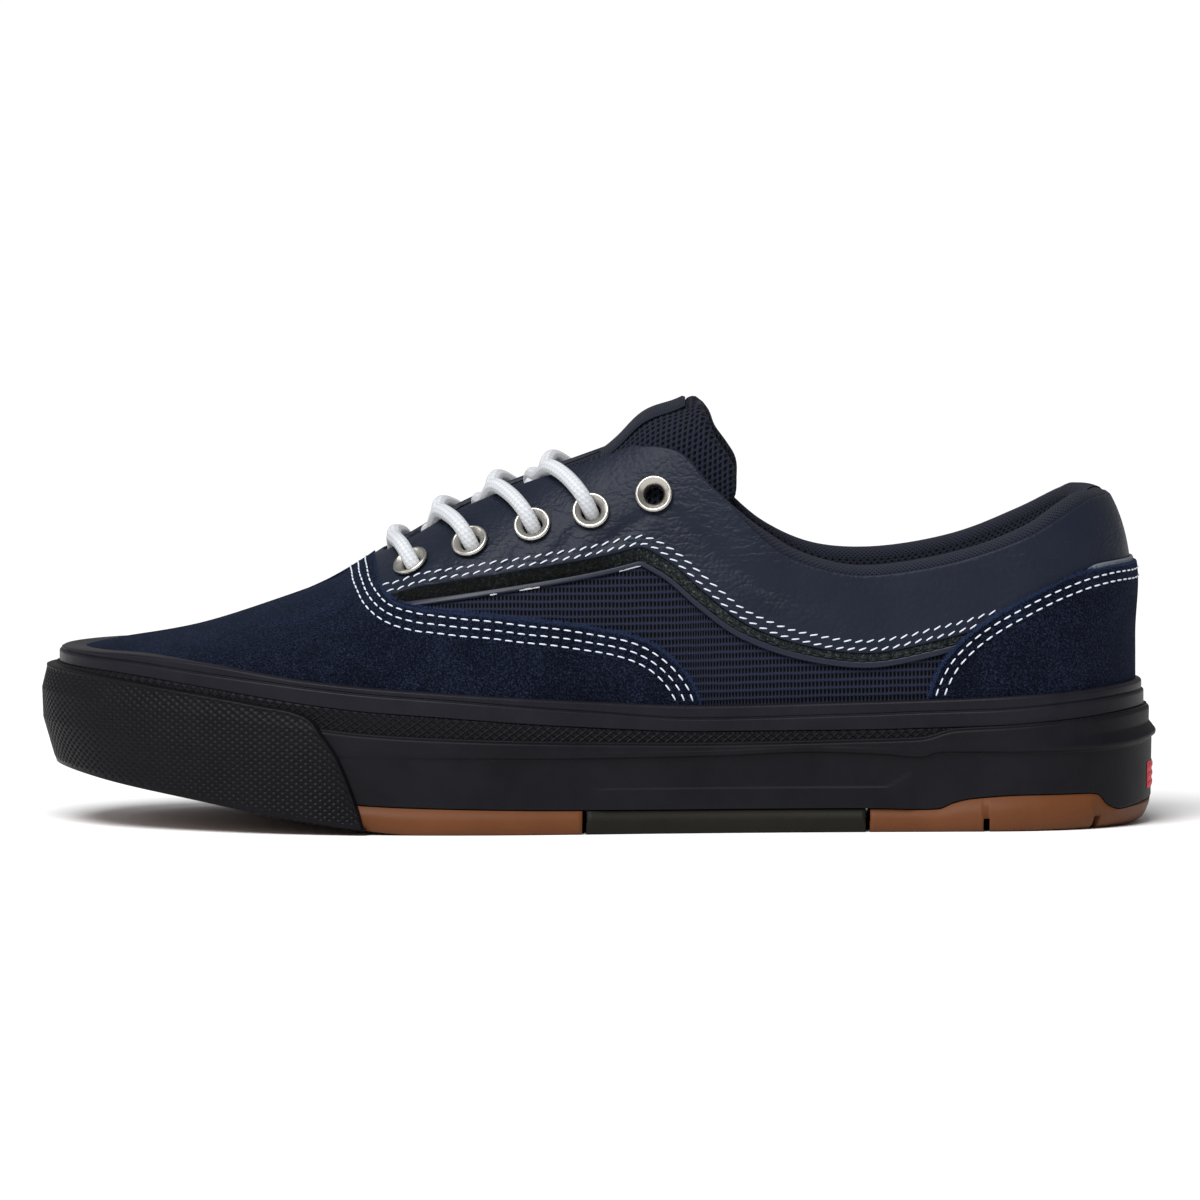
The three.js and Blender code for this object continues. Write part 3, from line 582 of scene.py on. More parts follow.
def crease(points):
    """Sum of soft troughs: each is a bell across its width and along its length."""
    side = np.where(points[..., 1] < middle_at(along_at(points[..., 0])), -1, 1)
    sunk = np.zeros(points.shape[:-1])
    for i in range(len(CREASES["at"])):
        one = {name: column[i] for name, column in CREASES.items()}
        turn = math.radians(one["turn"])
        x = points[..., 0] - length_at(one["at"])
        z = points[..., 2] - on_upper(one["up"])
        onward = x * math.cos(turn) + z * math.sin(turn)
        across = z * math.cos(turn) - x * math.sin(turn)
        here = (one["side"] == 0) | (side == one["side"])
        bell = np.exp(-((onward / one["length"]) ** 2) - (across / one["width"]) ** 2)
        sunk = sunk + np.where(here, one["depth"] * bell, 0)
    return sunk


def surface(name, points, material, keep=None, facing=1, uv=None, closed=False):
    """A mesh from a grid of points (rows, columns). Keep says which of its quads stay.
    Each quad's UV is the distance along the middle row and up its column, in metres.
    Facing turns the faces away from the shoe's long axis (1) or towards it (-1)."""
    points = np.asarray(points, float)
    rows, cols = points.shape[:2]
    quads = quads_of(rows, cols)
    if keep is not None:
        quads = quads[keep]
    quads = quads.reshape(-1, 4)
    flat = points.reshape(-1, 3)
    if uv is None:
        onward = run_along(points[rows // 2])
        rise = np.linalg.norm(np.diff(points, axis=0), axis=2)
        upward = np.concatenate([np.zeros((1, cols)), np.cumsum(rise, axis=0)])
        uv = np.stack([np.broadcast_to(onward, (rows, cols)), upward], -1)
    if facing:
        a, b, c = (flat[quads[:, k]] for k in (0, 1, 3))
        normal = np.cross(b - a, c - a)
        centre = a.copy()
        centre[:, 1] -= middle_at(along_at(centre[:, 0]))
        centre[:, 2] -= 0.03
        centre[:, 0] *= 0.2
        if np.sum(normal * centre) * facing < 0:
            quads = quads[:, ::-1]
    mesh = bpy.data.meshes.new(name)
    mesh.vertices.add(len(flat))
    mesh.vertices.foreach_set("co", flat.ravel())
    mesh.loops.add(quads.size)
    mesh.loops.foreach_set("vertex_index", quads.ravel())
    mesh.polygons.add(len(quads))
    mesh.polygons.foreach_set("loop_start", np.arange(0, quads.size, 4))
    mesh.update(calc_edges=True)
    layer = mesh.uv_layers.new(name="surface")
    layer.data.foreach_set("uv", uv.reshape(-1, 2)[quads.ravel()].ravel())
    return finished(name, mesh, material, closed)


def finished(name, mesh, material, closed=False):
    """Joins doubled points, drops faces with no area, and makes the object."""
    tidy = bmesh.new()
    tidy.from_mesh(mesh)
    bmesh.ops.remove_doubles(tidy, verts=tidy.verts, dist=2e-6)
    bmesh.ops.dissolve_degenerate(tidy, edges=tidy.edges, dist=1e-6)
    loose = [v for v in tidy.verts if not v.link_faces]
    bmesh.ops.delete(tidy, geom=loose, context="VERTS")
    if closed:
        bmesh.ops.recalc_face_normals(tidy, faces=tidy.faces)
    tidy.to_mesh(mesh)
    tidy.free()
    mesh.polygons.foreach_set("use_smooth", np.ones(len(mesh.polygons), bool))
    mesh.materials.append(material)
    mesh.update()
    piece = bpy.data.objects.new(name, mesh)
    bpy.context.collection.objects.link(piece)
    return piece


def joined(name, pieces, material, closed=True):
    """One mesh from arrays of points and faces, each shifted past the ones before it."""
    points, faces, start = [], [], 0
    for corners, sides in pieces:
        points.append(np.asarray(corners).reshape(-1, 3))
        faces.append(np.asarray(sides).reshape(-1, 4) + start)
        start += len(points[-1])
    mesh = bpy.data.meshes.new(name)
    mesh.from_pydata(np.concatenate(points).tolist(), [], np.concatenate(faces).tolist())
    return finished(name, mesh, material, closed)


def quads_of(rows, cols, wrap=False):
    """Corner numbers of a grid's quads; wrap closes each row into a ring."""
    index = np.arange(rows * cols).reshape(rows, cols)
    if wrap:
        index = np.hstack([index, index[:, :1]])
    return np.stack([index[:-1, :-1], index[:-1, 1:], index[1:, 1:], index[1:, :-1]], -1)


def dress(piece, slot, *nodes):
    """The piece rides with the shoe and stands for CAD nodes, which it hides. Its slot is not used."""
    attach(piece, "root")
    if nodes:
        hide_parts(*nodes)
    return piece


class Finish:
    """A material's nodes, with its shader."""

    def __init__(self, name, colour_value, roughness, gloss=0.12, **sockets):
        self.material = bpy.data.materials.new(name)
        self.material.use_nodes = True
        self.tree = self.material.node_tree
        self.shader = self.tree.nodes["Principled BSDF"]
        self.shader.inputs["Base Color"].default_value = colour_value
        self.shader.inputs["Roughness"].default_value = roughness
        self.shader.inputs["Specular IOR Level"].default_value = gloss
        for socket, value in sockets.items():
            self.shader.inputs[socket.replace("_", " ")].default_value = value
        self.colour = colour_value

    def add(self, kind, values=None, **settings):
        """A node with its settings, and values or links for its inputs."""
        node = self.tree.nodes.new("ShaderNode" + kind)
        for setting, value in settings.items():
            setattr(node, setting, value)
        for socket, value in (values or {}).items():
            if isinstance(value, bpy.types.NodeSocket):
                self.tree.links.new(value, node.inputs[socket])
            else:
                node.inputs[socket].default_value = value
        return node

    def math(self, operation, *values):
        return self.add("Math", dict(enumerate(values)), operation=operation).outputs[0]

    def times(self, one, other):
        return self.math("MULTIPLY", one, other)

    def times_plus(self, one, other, more):
        return self.math("MULTIPLY_ADD", one, other, more)

    def wave(self, value, kind="COSINE"):
        """The height of a wave with its troughs turned up."""
        return self.math("ABSOLUTE", self.math(kind, value))

    def parts(self, vector):
        """A place's first and second number."""
        split = self.add("SeparateXYZ", {"Vector": vector})
        return split.outputs["X"], split.outputs["Y"]

    def noise(self, vector, scale, detail=2.0, roughness=0.5, distortion=0.0):
        values = {"Vector": vector, "Scale": scale, "Detail": detail}
        values.update({"Roughness": roughness, "Distortion": distortion})
        return self.add("TexNoise", values).outputs["Fac"]

    def cells(self, vector, scale, feature="F1"):
        values = {"Vector": vector, "Scale": scale}
        return self.add("TexVoronoi", values, feature=feature).outputs["Distance"]

    def object_place(self):
        return self.add("TexCoord").outputs["Object"]

    def surface_place(self):
        return self.add("UVMap", uv_map="surface").outputs["UV"]

    def ramp(self, factor, *stops):
        node = self.add("ValToRGB", {"Fac": factor})
        elements = node.color_ramp.elements
        while len(elements) < len(stops):
            elements.new(0.5)
        for element, (place, value) in zip(elements, stops):
            element.position = place
            element.color = (value, value, value, 1) if np.isscalar(value) else value
        return node.outputs["Color"]

    def shades(self, factor, dark, light):
        """The finish's colour, from dark to light times itself, by a factor."""
        stops = (0, bright(self.colour, dark)), (1, bright(self.colour, light))
        return self.ramp(factor, *stops)

    def mix(self, factor, one, other, **settings):
        values = {0: factor, 6: one, 7: other}
        return self.add("Mix", values, data_type="RGBA", **settings).outputs[2]

    def paint(self, value, socket="Base Color"):
        self.tree.links.new(value, self.shader.inputs[socket])

    def bump(self, height, distance, strength=1.0, under=None):
        values = {"Height": height, "Distance": distance, "Strength": strength}
        if under is not None:
            values["Normal"] = under
        normal = self.add("Bump", values).outputs["Normal"]
        self.paint(normal, "Normal")
        return normal


def bright(base, share_of):
    """A colour times a number, up to white."""
    return (*(min(c * share_of, 1) for c in base[:3]), 1)


def suede_finish():
    """Napped suede: soft blotches where the nap lies another way, and short fibres."""
    finish = Finish("napped_suede", colours.suede, 0.95, 0.03, Sheen_Weight=0.05)
    finish.shader.inputs["Sheen Tint"].default_value = (0.35, 0.48, 0.85, 1)
    place = finish.object_place()
    blotch = finish.noise(place, 60, 4, 0.6, 0.6)
    fibre = finish.noise(place, 2500, 1, 0.5)
    speck = finish.noise(place, 1700, 1, 0.5)
    mixed = finish.times_plus(fibre, 0.6, finish.times(blotch, 0.25))
    both = finish.times_plus(speck, 0.4, mixed)
    nap = finish.ramp(
        both,
        (0.48, bright(colours.suede, 0.3)),
        (0.63, bright(colours.suede, 0.85)),
        (0.78, bright(colours.suede, 3.0)),
    )
    edge = finish.add("Attribute", attribute_name="edge").outputs["Fac"]
    frayed = finish.times(edge, finish.times(speck, 1.3))
    finish.paint(finish.mix(frayed, nap, (0.014, 0.023, 0.056, 1)))
    under = finish.bump(speck, 0.0005, 0.8)
    finish.bump(fibre, 0.00035, 0.9, under)
    return finish.material


def leather_finish():
    """Tumbled leather: small pebbles with creases between them, stretched by wrinkles."""
    finish = Finish("tumbled_leather", colours.leather, 0.5, 0.11)
    place = finish.object_place()
    bend = finish.add("TexNoise", {"Vector": place, "Scale": 130, "Detail": 2})
    moved = finish.add(
        "VectorMath",
        {0: bend.outputs["Color"], 1: (0.004, 0.004, 0.004), 2: place},
        operation="MULTIPLY_ADD",
    ).outputs[0]
    turned = finish.add(
        "Mapping", {"Vector": moved, "Rotation": (0.0, -0.9, 0.0), "Scale": (1.0, 1.0, 3.2)}
    ).outputs[0]
    pebble = finish.cells(moved, 820)
    fine = finish.noise(place, 1900, 2, 0.6)
    soft = finish.noise(place, 60, 3, 0.55)
    fold = finish.noise(turned, 85, 2, 0.5, 0.4)
    ridge = finish.math("ABSOLUTE", finish.math("SUBTRACT", fold, 0.5))
    folds = finish.ramp(ridge, (0.0, 0), (0.07, 1))
    wrinkled = finish.add("Attribute", attribute_name="wrinkle").outputs["Fac"]
    height = finish.times_plus(fine, 0.15, finish.times(pebble, -0.6))
    finish.paint(finish.shades(soft, 0.75, 1.3))
    finish.paint(finish.ramp(soft, (0.3, 0.38), (0.75, 0.5)), "Roughness")
    deep = finish.times(folds, wrinkled)
    under = finish.bump(deep, 0.00022, 0.45)
    under = finish.bump(soft, 0.0012, 0.4, under)
    finish.bump(height, 0.00026, 0.8, under)
    return finish.material


def woven_finish(name, base, pitch_u, pitch_v, depth, cord=0.5, gloss=0.05):
    """Open mesh: thick cords run along the cloth (v), and thinner threads cross them (u),
    with slits between, which are painted near black as shade. Cord is the share of the pitch
    that a cord covers."""
    finish = Finish(name, base, 0.8, gloss, Sheen_Weight=0.03)
    place = finish.surface_place()
    wander = finish.noise(place, 160, 2)
    x, y = finish.parts(place)
    u = finish.times(x, math.pi / pitch_u)
    v = finish.times(y, math.pi / pitch_v)
    across = finish.wave(finish.times_plus(wander, 0.9, u))
    along = finish.wave(finish.times_plus(wander, 0.7, v))
    low = 1.22 - 1.2 * cord
    cords = finish.ramp(along, (low - 0.12, 0), (low + 0.12, 1))
    threads = finish.ramp(across, (0.66, 0), (0.9, 0.8))
    body = finish.math("MAXIMUM", cords, threads)
    fuzz = finish.noise(place, 2600, 2, 0.6)
    knot = finish.times(across, along)
    height = finish.times_plus(knot, 0.3, body)
    height = finish.times_plus(fuzz, 0.25, height)
    # Colour by height: painted shade, near black, down in the slits, and lightest on the raised cords.
    stops = (0.3, bright(base, 0.02)), (0.8, bright(base, 0.7)), (1.0, bright(base, 2.0))
    finish.paint(finish.ramp(height, *stops))
    finish.bump(height, depth, 1.0)
    return finish.material


def knit_finish(name, base, pitch, depth):
    """Fine knit: small gaps in staggered rows, where two waves meet, among loops. The gaps
    are painted dark as shade.
    """
    finish = Finish(name, base, 0.85, 0.1, Sheen_Weight=0.04)
    place = finish.surface_place()
    x, y = finish.parts(place)
    wander = finish.noise(place, 300, 2)
    u = finish.times_plus(x, 2 * math.pi / pitch, wander)
    v = finish.times(y, 2.3 * math.pi / pitch)
    both = finish.times(finish.math("COSINE", u), finish.math("COSINE", v))
    loops = finish.ramp(both, (0.1, 1), (0.75, 0))
    height = finish.times_plus(finish.noise(place, 2400, 2, 0.6), 0.8, loops)
    # Colour by height: painted shade in the gaps, lighter on the loops.
    finish.paint(finish.ramp(height, (0.35, bright(base, 0.2)), (1.0, bright(base, 1.25))))
    finish.bump(height, depth, 1.0)
    return finish.material


def rubber_finish(name, base, roughness=0.5, dust=0.25):
    """Moulded rubber: a fine grain, and a little pale dust in soft patches."""
    finish = Finish(name, base, roughness, 0.1)
    place = finish.object_place()
    grain = finish.noise(place, 1500, 2, 0.6)
    cloud = finish.noise(place, 55, 4, 0.6, 0.4)
    pale = (*(min(c * (1 + dust) + 0.006 * dust, 1) for c in base[:3]), 1)
    deep = bright(base, 1 - dust / 2)
    finish.paint(finish.ramp(cloud, (0.3, deep), (0.7, pale)))
    shine = finish.ramp(cloud, (0.25, roughness - 0.07), (0.8, roughness + 0.1))
    finish.paint(shine, "Roughness")
    finish.bump(grain, 0.00008, 0.7)
    return finish.material


def strip_finish():
    """The sole's strip: fine raised lines cross in wide diamonds, by two crossed waves."""
    finish = Finish("knurled_strip", colours.rubber, 0.5, 0.12)
    x, y = finish.parts(finish.surface_place())
    u = finish.times(x, math.pi / 0.0026)
    v = finish.times(y, math.pi / 0.0019)
    one = finish.wave(finish.math("ADD", u, v), "SINE")
    other = finish.wave(finish.math("SUBTRACT", u, v), "SINE")
    pit = finish.math("MINIMUM", one, other)
    height = finish.ramp(pit, (0.05, 1), (0.55, 0))
    # Painted shade and light: darker down in the pits, lighter on the raised lines.
    finish.paint(finish.shades(height, 0.75, 1.5))
    finish.bump(height, 0.0003, 0.9)
    return finish.material


def metal_finish():
    """Satin nickel with faint brushing."""
    finish = Finish("satin_nickel", colours.metal, 0.3, Metallic=1.0)
    place = finish.object_place()
    brushing = finish.noise(place, 1300, 3, 0.6)
    finish.paint(finish.ramp(brushing, (0.3, 0.26), (0.7, 0.38)), "Roughness")
    finish.paint(finish.shades(finish.noise(place, 260, 2), 0.85, 1.08))
    finish.bump(brushing, 0.00002, 0.5)
    return finish.material


def lace_finish():
    """Braided cord: fine yarns slope one way and the other, in rows along the cord."""
    finish = Finish("lace_cord", colours.lace, 0.85, 0.2, Sheen_Weight=0.1)
    x, y = finish.parts(finish.surface_place())
    around = finish.times(x, 2 * math.pi * 9)
    onward = finish.times(y, 2 * math.pi / 0.0011)
    rib = finish.wave(finish.times(around, 0.5), "SINE")
    zigzag = finish.math("SINE", finish.times_plus(rib, 2.2, onward))
    height = finish.times_plus(zigzag, 0.3, finish.times(rib, 0.7))
    # Painted shade: the cord is darker down between its yarns.
    finish.paint(finish.shades(height, 0.8, 1.08))
    finish.bump(height, 0.0001, 0.6)
    return finish.material


def thread_finish(name, base):
    """Twisted thread."""
    finish = Finish(name, base, 0.6, 0.3, Sheen_Weight=0.1)
    twist = finish.noise(finish.object_place(), 3500, 2, 0.6)
    finish.paint(finish.shades(twist, 0.82, 1.1))
    finish.bump(twist, 0.00006, 0.6)
    return finish.material


def piping_finish():
    """Smooth coated piping, with white glints painted along its lower edge in front: painted
    highlights.
    """
    finish = Finish("piping", colours.piping, 0.4, 0.25)
    x, y = finish.parts(finish.surface_place())
    onward = finish.add("CombineXYZ", {"X": x}).outputs[0]
    ragged = finish.noise(finish.object_place(), 900, 2)
    height = finish.times_plus(ragged, 0.0006, y)
    edge = finish.math("LESS_THAN", height, 0.00095)
    # Painted highlight: patches along the lower edge in front where white glints are painted.
    paler = finish.math("GREATER_THAN", finish.noise(onward, 75, 2, 0.5), 0.53)
    front, end = finish.math("GREATER_THAN", x, 0.028), finish.math("LESS_THAN", x, 0.0785)
    place = finish.times(front, end)
    factor = finish.times(finish.times(paler, edge), place)
    # The glints are painted in near white over the piping's colour.
    finish.paint(finish.mix(factor, colours.piping, (0.75, 0.78, 0.82, 1)))
    finish.bump(ragged, 0.00005, 0.5)
    return finish.material


def raw_finish():
    """The leather's cut edge: black nap in front, grey-green and worn along the sweep."""
    dark = (0.0035, 0.004, 0.0042, 1)
    paler = (0.019, 0.0235, 0.0235, 1)
    finish = Finish("raw_edge", dark, 0.9, 0.1)
    place = finish.object_place()
    fuzz = finish.noise(place, 1300, 4, 0.75)
    x = finish.parts(place)[0]
    behind = finish.add("MapRange", {"Value": x, 1: 0.0, 2: 0.02}).outputs[0]
    tone = finish.mix(behind, dark, paler)
    speck = finish.ramp(fuzz, (0.42, 0.3), (0.56, 1.0), (0.68, 4.5))
    finish.paint(finish.mix(1, tone, speck, blend_type="MULTIPLY"))
    finish.bump(fuzz, 0.0007, 1.0)
    return finish.material


def punch(points_flat, reach):
    """True where a point is within reach of an eyelet's axis."""
    inside = np.zeros(points_flat.shape[:-1], bool)
    for side in SIDES.values():
        for spot in EYELETS:
            centre, normal = eyelet_frame(spot, side)[:2]
            gap = points_flat - centre
            off = gap - (gap @ normal)[..., None] * normal
            near = np.linalg.norm(gap, axis=-1) < 0.012
            inside |= near & (np.linalg.norm(off, axis=-1) < reach)
    return inside


def eyelet_place(spot, side):
    around = around_of(spot[0], side)
    return around, up_at_height(around, on_upper(spot[1]))


def eyelet_frame(spot, side):
    """Centre on the skin, normal, and two directions across the eyelet."""
    around, up = eyelet_place(spot, side)
    normal = skin_normal(around, up)
    across = unit(np.cross(normal, [0.0, 0.0, 1.0]))
    return last_point(around, up), normal, across, np.cross(normal, across)


def line_at(points, along):
    """Height of a side-view line, in metres, at shares of the length."""
    order = np.argsort(points[:, 0], kind="stable")
    return on_upper(np.interp(along, points[order, 0], points[order, 1]))


def vamp_line():
    return np.concatenate([curve(VAMP_SIDE), curve(VAMP_FRONT)[1:]])


def panel_line():
    return np.concatenate([curve(PANEL_RISE), curve(PANEL_SWEEP)[1:]])


def offset_line(points, distance):
    """A side-view line moved to its left by a distance in metres, measured in the view.
    The distance may differ from point to point."""
    distance = np.broadcast_to(distance, len(points))[:, None]
    flat = side_view(points)
    onward = unit(np.gradient(flat, axis=0))
    moved = flat + np.stack([-onward[:, 1], onward[:, 0]], -1) * distance
    return np.stack([along_at(moved[:, 0]), up_share(moved[:, 1])], -1)


def strip_line(share_of):
    """A line on the strips under the leather: 0 is the panel's line, 1 the piping's upper
    edge, 2 the leather's lower edge, and 3 and 4 the two rows of stitches."""
    line = panel_line()
    widths = [np.zeros(len(line))]
    widths += [read(STRIPS, name, line[:, 0]) * MM for name in ("piping", "leather", "near", "far")]
    low = min(int(share_of), 3)
    part = share_of - low
    return offset_line(line, widths[low] * (1 - part) + widths[low + 1] * part)


def collar_up(around, side, down=0.0):
    """How far up the last the collar's or the throat's edge is, and whether it is free."""
    along = along_of(around)
    top = up_at_height(around, line_at(curve(TOPLINE[side]), along) - down)
    half = form.ball_width * read(THROAT, "half", along)
    slot = np.where(along < THROAT["at"][-1], up_beside(around, half), 1.0)
    ahead = along < THROAT["at"][0]
    return np.where(ahead, 1.0, np.minimum(top, slot)), ~ahead


def turn_of(signed):
    """Around from a signed place: outer side above zero, inner side below it."""
    return np.where(signed >= 0, signed, 1 + signed)


def column_run(around, low, high):
    """Length of the skin from one height on a column to another."""
    share_up = np.linspace(0, 1, 14)[:, None]
    points = last_point(around[None, :], low + (high - low) * share_up)
    return np.linalg.norm(np.diff(points, axis=0), axis=2).sum(0)


def panel(around, low, high, thickness, rows, free, ends=0.0):
    """A panel on the last: columns at around, each from low to high. Its upper edge is
    rounded down to the last where free, and so are its first and last columns over the
    length ends. Returns the grid of points."""
    run = np.maximum(column_run(around, low, high), 1e-5)
    steps = np.linspace(0, 1, rows)[:, None]
    roll = np.array([1.0, 0.55, 0.25, 0.08, 0.0, 0.0])[:, None] * MM
    roll = np.minimum(roll, run / 4)
    main = steps * (1 - roll[0] / run)
    share_up = np.concatenate([main, 1 - roll[1:] / run])
    fall = np.concatenate([np.zeros(rows), [0.04, 0.14, 0.35, 0.62, 1.0]])[:, None]
    out = form.clearance + thickness * (1 - fall * free)
    out = np.where((fall == 1) & free, 0.0, out)
    up = low + (high - low) * share_up
    points = last_point(around[None, :], up)
    out = out - crease(points) * (1 - fall)
    if ends:
        gone = run_along(points[rows // 2])
        near = np.minimum(gone, gone[-1] - gone)
        out = out - thickness * 1.1 * (1 - smooth_step(near, 0, ends))
    return skin(around[None, :], up, out)


def upper_grid():
    """The hollow upper as one grid: up the outside, over the rolled edge and down the
    inside. Rows run up and columns run round from the heel and back to it."""
    count = 360
    signed = np.linspace(-0.5, 0.5, 2 * count + 1)
    around = turn_of(signed)
    around[0], around[-1] = 0.5, 0.5
    side = np.where(signed >= 0, -1, 1)
    left, free = collar_up(around, -1)
    right = collar_up(around, 1)[0]
    high = np.where(side < 0, left, right)
    along = along_of(around)
    edge = last_point(around, high)
    pad = smooth_step(along, 0.65, 0.72)

    def wall_at(height):
        return form.wall + form.collar_pad * pad * smooth_step(
            height, on_upper(0.17), on_upper(0.33)
        )

    thick = wall_at(edge[..., 2])
    normal = skin_normal(around, high)
    below = last_point(around, np.maximum(high - 0.02, 0))
    tangent = unit(edge - below)
    lift = np.where(free, np.minimum(thick * 0.45, 0.0029), 0)
    run = np.maximum(column_run(around, np.full(around.shape, FEATHER), high), 1e-4)
    low = 0.06
    outer_rows = 46
    shares = np.linspace(0, 1, outer_rows)[:, None]
    top = high - (high - low) * lift / run
    outer = skin(around[None, :], low + (top - low) * shares, 0.0)
    angle = np.linspace(0, np.pi, 9)[1:-1][:, None, None]
    seat = outer[-1]
    roll = (
        seat
        - normal * thick[:, None] * (1 - np.cos(angle)) / 2
        + tangent * lift[:, None] * np.sin(angle)
    )
    inner_up = top + (low - top) * np.linspace(0, 1, 30)[:, None]
    height = last_point(around[None, :], inner_up)[..., 2]
    inner = skin(around[None, :], inner_up, -wall_at(height))
    return outer, roll, inner, free


def unpunched(points):
    """Which quads of a grid no eyelet goes through."""
    return ~punch((points[:-1, :-1] + points[1:, 1:]) / 2, trim.hole + trim.metal)


class SHOE_OT_cloth(bpy.types.Operator):
    """Make the mesh shell, its knitted binding and its lining"""

    bl_idname = "shoe.cloth"
    bl_label = "Mesh shell and lining"

    def execute(self, context):
        mesh = woven_finish("waffle_mesh", colours.mesh, 0.00105, 0.0021, 0.0006, 0.34)
        lining = knit_finish("lining_mesh", colours.lining, 0.0019, 0.0004)
        knit = knit_finish("binding_knit", colours.lining, 0.0012, 0.0003)
        outer, roll, inner, free = upper_grid()
        keep = unpunched(outer)
        keep[-2:] &= ~free[:-1]
        quarter = surface("quarter_mesh", outer, mesh, keep=keep)
        dress(quarter, "mesh", "upper")
        shell = surface("lining", inner, lining, keep=unpunched(inner), facing=-1)
        dress(shell, "lining")
        edge = np.concatenate([outer[-3:], roll, inner[:1]])
        keep = np.broadcast_to(free[:-1] & free[1:], (len(edge) - 1, len(free) - 1))
        dress(surface("binding", edge, knit, keep=keep), "lining")
        return {"FINISHED"}


def wrinkles(points):
    """How creased the leather is: most between the eyelets and behind the top one."""
    spots = [(at, up - 0.06, 0.012) for at, up in EYELETS]
    spots += [(0.6, 0.56, 0.014), (0.63, 0.47, 0.012), (0.9, 0.5, 0.01)]
    x, z = points[:, 0], points[:, 2]
    made = np.full(len(points), 0.06)
    for at, up, size in spots:
        gap = ((x - length_at(at)) / size) ** 2 + ((z - on_upper(up)) / size) ** 2
        made = made + 0.85 * np.exp(-gap)
    return np.clip(made, 0, 1)


def mark(piece, name, amount):
    """Keeps a number for each of the piece's points, for its finish to read."""
    mesh = piece.data
    points = np.empty(len(mesh.vertices) * 3)
    mesh.vertices.foreach_get("co", points)
    layer = mesh.attributes.new(name, "FLOAT", "POINT")
    layer.data.foreach_set("value", np.asarray(amount(points.reshape(-1, 3)), float))


def near_line(spots, line):
    """One on a side-view line, fading to nothing at a little over half a millimetre."""
    return 1 - smooth_step(gap_to(spots[:, [0, 2]], side_view(line)), 0.0, 0.0006)


class SHOE_OT_vamp(bpy.types.Operator):
    """Make the suede vamp"""

    bl_idname = "shoe.vamp"
    bl_label = "Suede vamp"

    def execute(self, context):
        line = vamp_line()
        spots = np.unique(np.round(line[:, 0], 6))
        toe = along_of(np.linspace(0, around_of(spots[0], -1), 74))[:-1]
        along = np.concatenate([toe, spots])
        signed = around_of(along, -1)
        signed = np.concatenate([-signed[:0:-1], signed])
        around = turn_of(signed)
        place = along_of(around)
        height = line_at(line, np.maximum(place, spots[0]))
        high = up_at_height(around, height)
        ahead = (place < 0.2852) | (high > 0.995)
        high = np.where(ahead, 1.0, high)
        low = np.full(high.shape, 0.1)
        high = np.maximum(high, low + 0.002)
        points = panel(around, low, high, form.suede, 60, ~ahead)
        suede = material_once("napped_suede", suede_finish)
        vamp = dress(surface("vamp", points, suede), "suede", "vamp_overlay")
        mark(vamp, "edge", lambda spots: near_line(spots, line))
        return {"FINISHED"}


def flare_at(along):
    """How far the counter's top stands off the collar round the back."""
    return 0.0013 * smooth_step(along, 0.9, 0.99)


class SHOE_OT_counter(bpy.types.Operator):
    """Make the suede heel counter"""

    bl_idname = "shoe.counter"
    bl_label = "Suede heel counter"

    def execute(self, context):
        line = curve(COUNTER_EDGE)
        spots = np.unique(np.round(line[line[:, 0] < 0.98, 0], 6))
        back = along_of(np.linspace(around_of(spots[-1], -1), 0.5, 26))[1:]
        along = np.concatenate([spots, back])
        signed = around_of(along, -1)
        around = np.concatenate([signed, 1 - signed[-2::-1]])
        place = along_of(around)
        height = line_at(line, place)
        high = up_at_height(around, height)
        low = np.full(high.shape, 0.1)
        points = panel(around, low, high, form.suede, 44, np.ones(high.shape, bool), 0.0012)
        up = np.linspace(0, 1, len(points))[:, None]
        normal = skin_normal(around, high)
        lift = flare_at(place)[None, :] * smooth_step(up, 0.45, 0.85)
        points = points + normal[None] * lift[..., None]
        suede = material_once("napped_suede", suede_finish)
        counter = dress(surface("heel_counter_suede", points, suede), "suede", "heel_counter")
        mark(counter, "edge", lambda spots: near_line(spots, line))
        self.backing(around[place > 0.955], high[place > 0.955])
        return {"FINISHED"}

    def backing(self, around, high):
        """A pale stiffener whose edge shows above the counter at the back."""
        run = column_run(around, high - 0.05, high)
        rise = 0.05 / np.maximum(run, 1e-4)
        steps = np.array([-0.0025, 0.0, 0.0006, 0.0011, 0.0011])[:, None]
        ends = smooth_step(along_of(around), 0.955, 0.968)
        out = np.array([0.0011, 0.0012, 0.0012, 0.0011, 0.0004])[:, None]
        points = skin(around[None, :], high + steps * rise * ends, form.leather + out * ends)
        shade = (0.11, 0.12, 0.145, 1)
        piece = surface("counter_backing", points, Finish("backing", shade, 0.6, 0.2).material)
        dress(piece, "leather")


def panel_low(along):
    """Lower edge of the leather: the panel's line moved up, and under the suede behind."""
    moved = strip_line(2)
    behind = line_at(curve(COUNTER_EDGE[2:]), along) - 0.003
    return np.where(along < 0.87, line_at(moved, along), behind)


